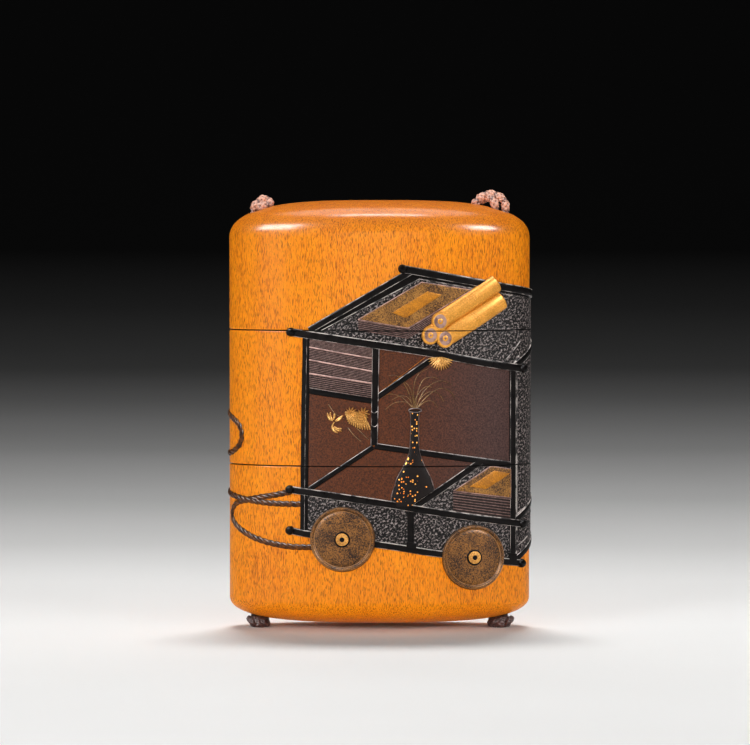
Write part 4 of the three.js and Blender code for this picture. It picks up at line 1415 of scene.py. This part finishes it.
class INRO_OT_cords(bpy.types.Operator):
    """Build the doubled silk cord through each end"""
    bl_idname = "inro.cords"
    bl_label = "Silk cords"

    def execute(self, context):
        case, cord = context.scene.inro_case, context.scene.inro_cord
        silk = braided_silk(cord)
        radius = cord.radius / MM
        for name, side in (("left", -1), ("right", 1)):
            middle = side * cord.channel / MM
            bm = bmesh.new()
            bm.verts.layers.float.new("braid_painted_shade")

            def placed(rows):
                return [(middle + side * x, y, z) for x, y, z in rows]

            for way in (-1, 1):
                run = [(way * STRAND_OFFSET, 0, z) for z in np.linspace(-0.2, 74, 40)]
                add_tube(bm, placed(run), radius, 16)
            add_braid(bm, smooth_path(placed(BIGHTS[name]), BRAID_STEP), radius,
                      LOBE_SHARE)
            for lines, share in ((knot_turns(*KNOTS[name]), 1),
                                 (knot_wraps(*KNOTS[name]), WRAP_SHARE)):
                for line in lines:
                    add_braid(bm, smooth_path(placed(line), BRAID_STEP), radius * share)
            for vert in bm.verts:
                vert.co.z = max(vert.co.z, -case.ground / MM)
                vert.co = vert.co * MM
                vert.co.z += case.ground
            finish_piece(f"{name}_cord_silk", bm, silk, [f"{name}_cord"], 80)
        return {"FINISHED"}


# ---------------------------------------------------------------- the stage
# The fills light the colours, and the rest are seen only in the gloss. Each lamp has its
# place and size in metres, its power in watts, and whether only gloss shows it.
LAMPS = {
    "left_key": ((-0.6, -0.76, 0.3), (0.42, 0.22), 2.9, False),
    "right_key": ((0.66, -0.7, 0.28), (0.36, 0.16), 2.0, False),
    "top_softbox": ((0.0, 0.3, 0.85), (0.3, 0.14), 5.8, False),
    "front_fill": ((0.0, -1.5, 0.24), (1.0, 0.36), 8.3, False),
    "rear_fill": ((0.0, 1.0, 0.9), (0.8, 0.5), 2.4, False),
    "left_glint": ((-0.7, -0.56, 0.64), (0.5, 0.32), 34, True),
    "left_sheen": ((-0.7, -0.62, 0.25), (0.34, 0.5), 1.0, True),
    "right_glint": ((0.72, -0.6, 0.6), (0.34, 0.24), 22, True),
    "top_glint": ((0.0, -0.15, 0.85), (0.3, 0.1), 6.0, True),
    "top_sheen": ((0.0, 0.12, 0.85), (0.6, 0.4), 6.0, True),
}
LAMP_AIM = (0, 0, 0.045)
CAMERA_X = -0.00085
LENS = 227.4


def point(thing, place, aim):
    """Puts a lamp or the camera in its place and turns it to look at aim."""
    thing.location = place
    way = Vector(aim) - Vector(place)
    thing.rotation_euler = way.to_track_quat("-Z", "Y").to_euler()


class INRO_OT_stage(bpy.types.Operator):
    """Build the floor, the soft lamps and the camera"""
    bl_idname = "inro.stage"
    bl_label = "Stage"

    def execute(self, context):
        scene = context.scene
        stage = scene.inro_stage
        # The floor runs back level and sweeps up into a wall far behind.
        bend = [(1.2 + 0.8 * math.sin(a), 0.8 - 0.8 * math.cos(a))
                for a in np.linspace(0.1, math.pi / 2, 12)]
        sweep = [(-2.5, 0), (1.2, 0), *bend, (2.0, 3.0)]
        bm = bmesh.new()
        add_sheet(bm, [[bm.verts.new((x, y, z)) for x in np.linspace(-3, 3, 9)]
                       for y, z in sweep])
        floor = add_object("floor", mesh_from("floor", bm))
        floor.data.materials.append(painted_board(stage))
        floor.data.shade_smooth()

        for name, (place, size, power, mirrored) in LAMPS.items():
            light = bpy.data.lights.new(name, "AREA")
            light.shape, light.size, light.size_y = "RECTANGLE", *size
            light.energy = power
            lamp = add_object(name, light)
            lamp.visible_glossy, lamp.visible_diffuse = mirrored, not mirrored
            point(lamp, place, LAMP_AIM)

        world = bpy.data.worlds.new("studio")
        world.use_nodes = True
        background = world.node_tree.nodes["Background"]
        background.inputs["Color"].default_value = (*linear("#dfe3e8"), 1)
        background.inputs["Strength"].default_value = 0.1
        world.cycles_visibility.glossy = False
        scene.world = world

        camera = bpy.data.cameras.new("camera")
        camera.lens, camera.sensor_width = LENS, 36
        camera.clip_start, camera.clip_end = 0.01, 20
        scene.camera = add_object("camera", camera)
        point(scene.camera, (CAMERA_X, -stage.distance, stage.height),
              (CAMERA_X, 0, stage.aim))
        scene.view_settings.view_transform = "Standard"
        return {"FINISHED"}


class INRO_PT_sidebar(bpy.types.Panel):
    """Lists the inro's settings and the operators that build it"""
    bl_idname = "INRO_PT_sidebar"
    bl_label = "Inro Case"
    bl_space_type = "VIEW_3D"
    bl_region_type = "UI"
    bl_category = "Inro"

    def draw(self, context):
        for name in GROUPS:
            group = getattr(context.scene, name)
            box = self.layout.box()
            for setting in group.__annotations__:
                box.prop(group, setting)
        for operator in OPERATORS:
            self.layout.operator(operator.bl_idname)


OPERATORS = (INRO_OT_stage, INRO_OT_cases, INRO_OT_grounds, INRO_OT_frame,
             INRO_OT_books, INRO_OT_scrolls, INRO_OT_vase, INRO_OT_wheels,
             INRO_OT_rope, INRO_OT_cords)
GROUPS = {"inro_case": InroCaseSettings, "inro_lacquer": InroLacquerSettings,
          "inro_cord": InroCordSettings, "inro_stage": InroStageSettings}


def register():
    for kind in (*GROUPS.values(), *OPERATORS, INRO_PT_sidebar):
        bpy.utils.register_class(kind)
    for name, group in GROUPS.items():
        setattr(bpy.types.Scene, name, bpy.props.PointerProperty(type=group))


def unregister():
    for name in GROUPS:
        delattr(bpy.types.Scene, name)
    for kind in reversed((*GROUPS.values(), *OPERATORS, INRO_PT_sidebar)):
        bpy.utils.unregister_class(kind)


def main():
    """Builds everything in order."""
    register()
    for operator in OPERATORS:
        package, name = operator.bl_idname.split(".")
        getattr(getattr(bpy.ops, package), name)()


if __name__ == "__main__":
    main()
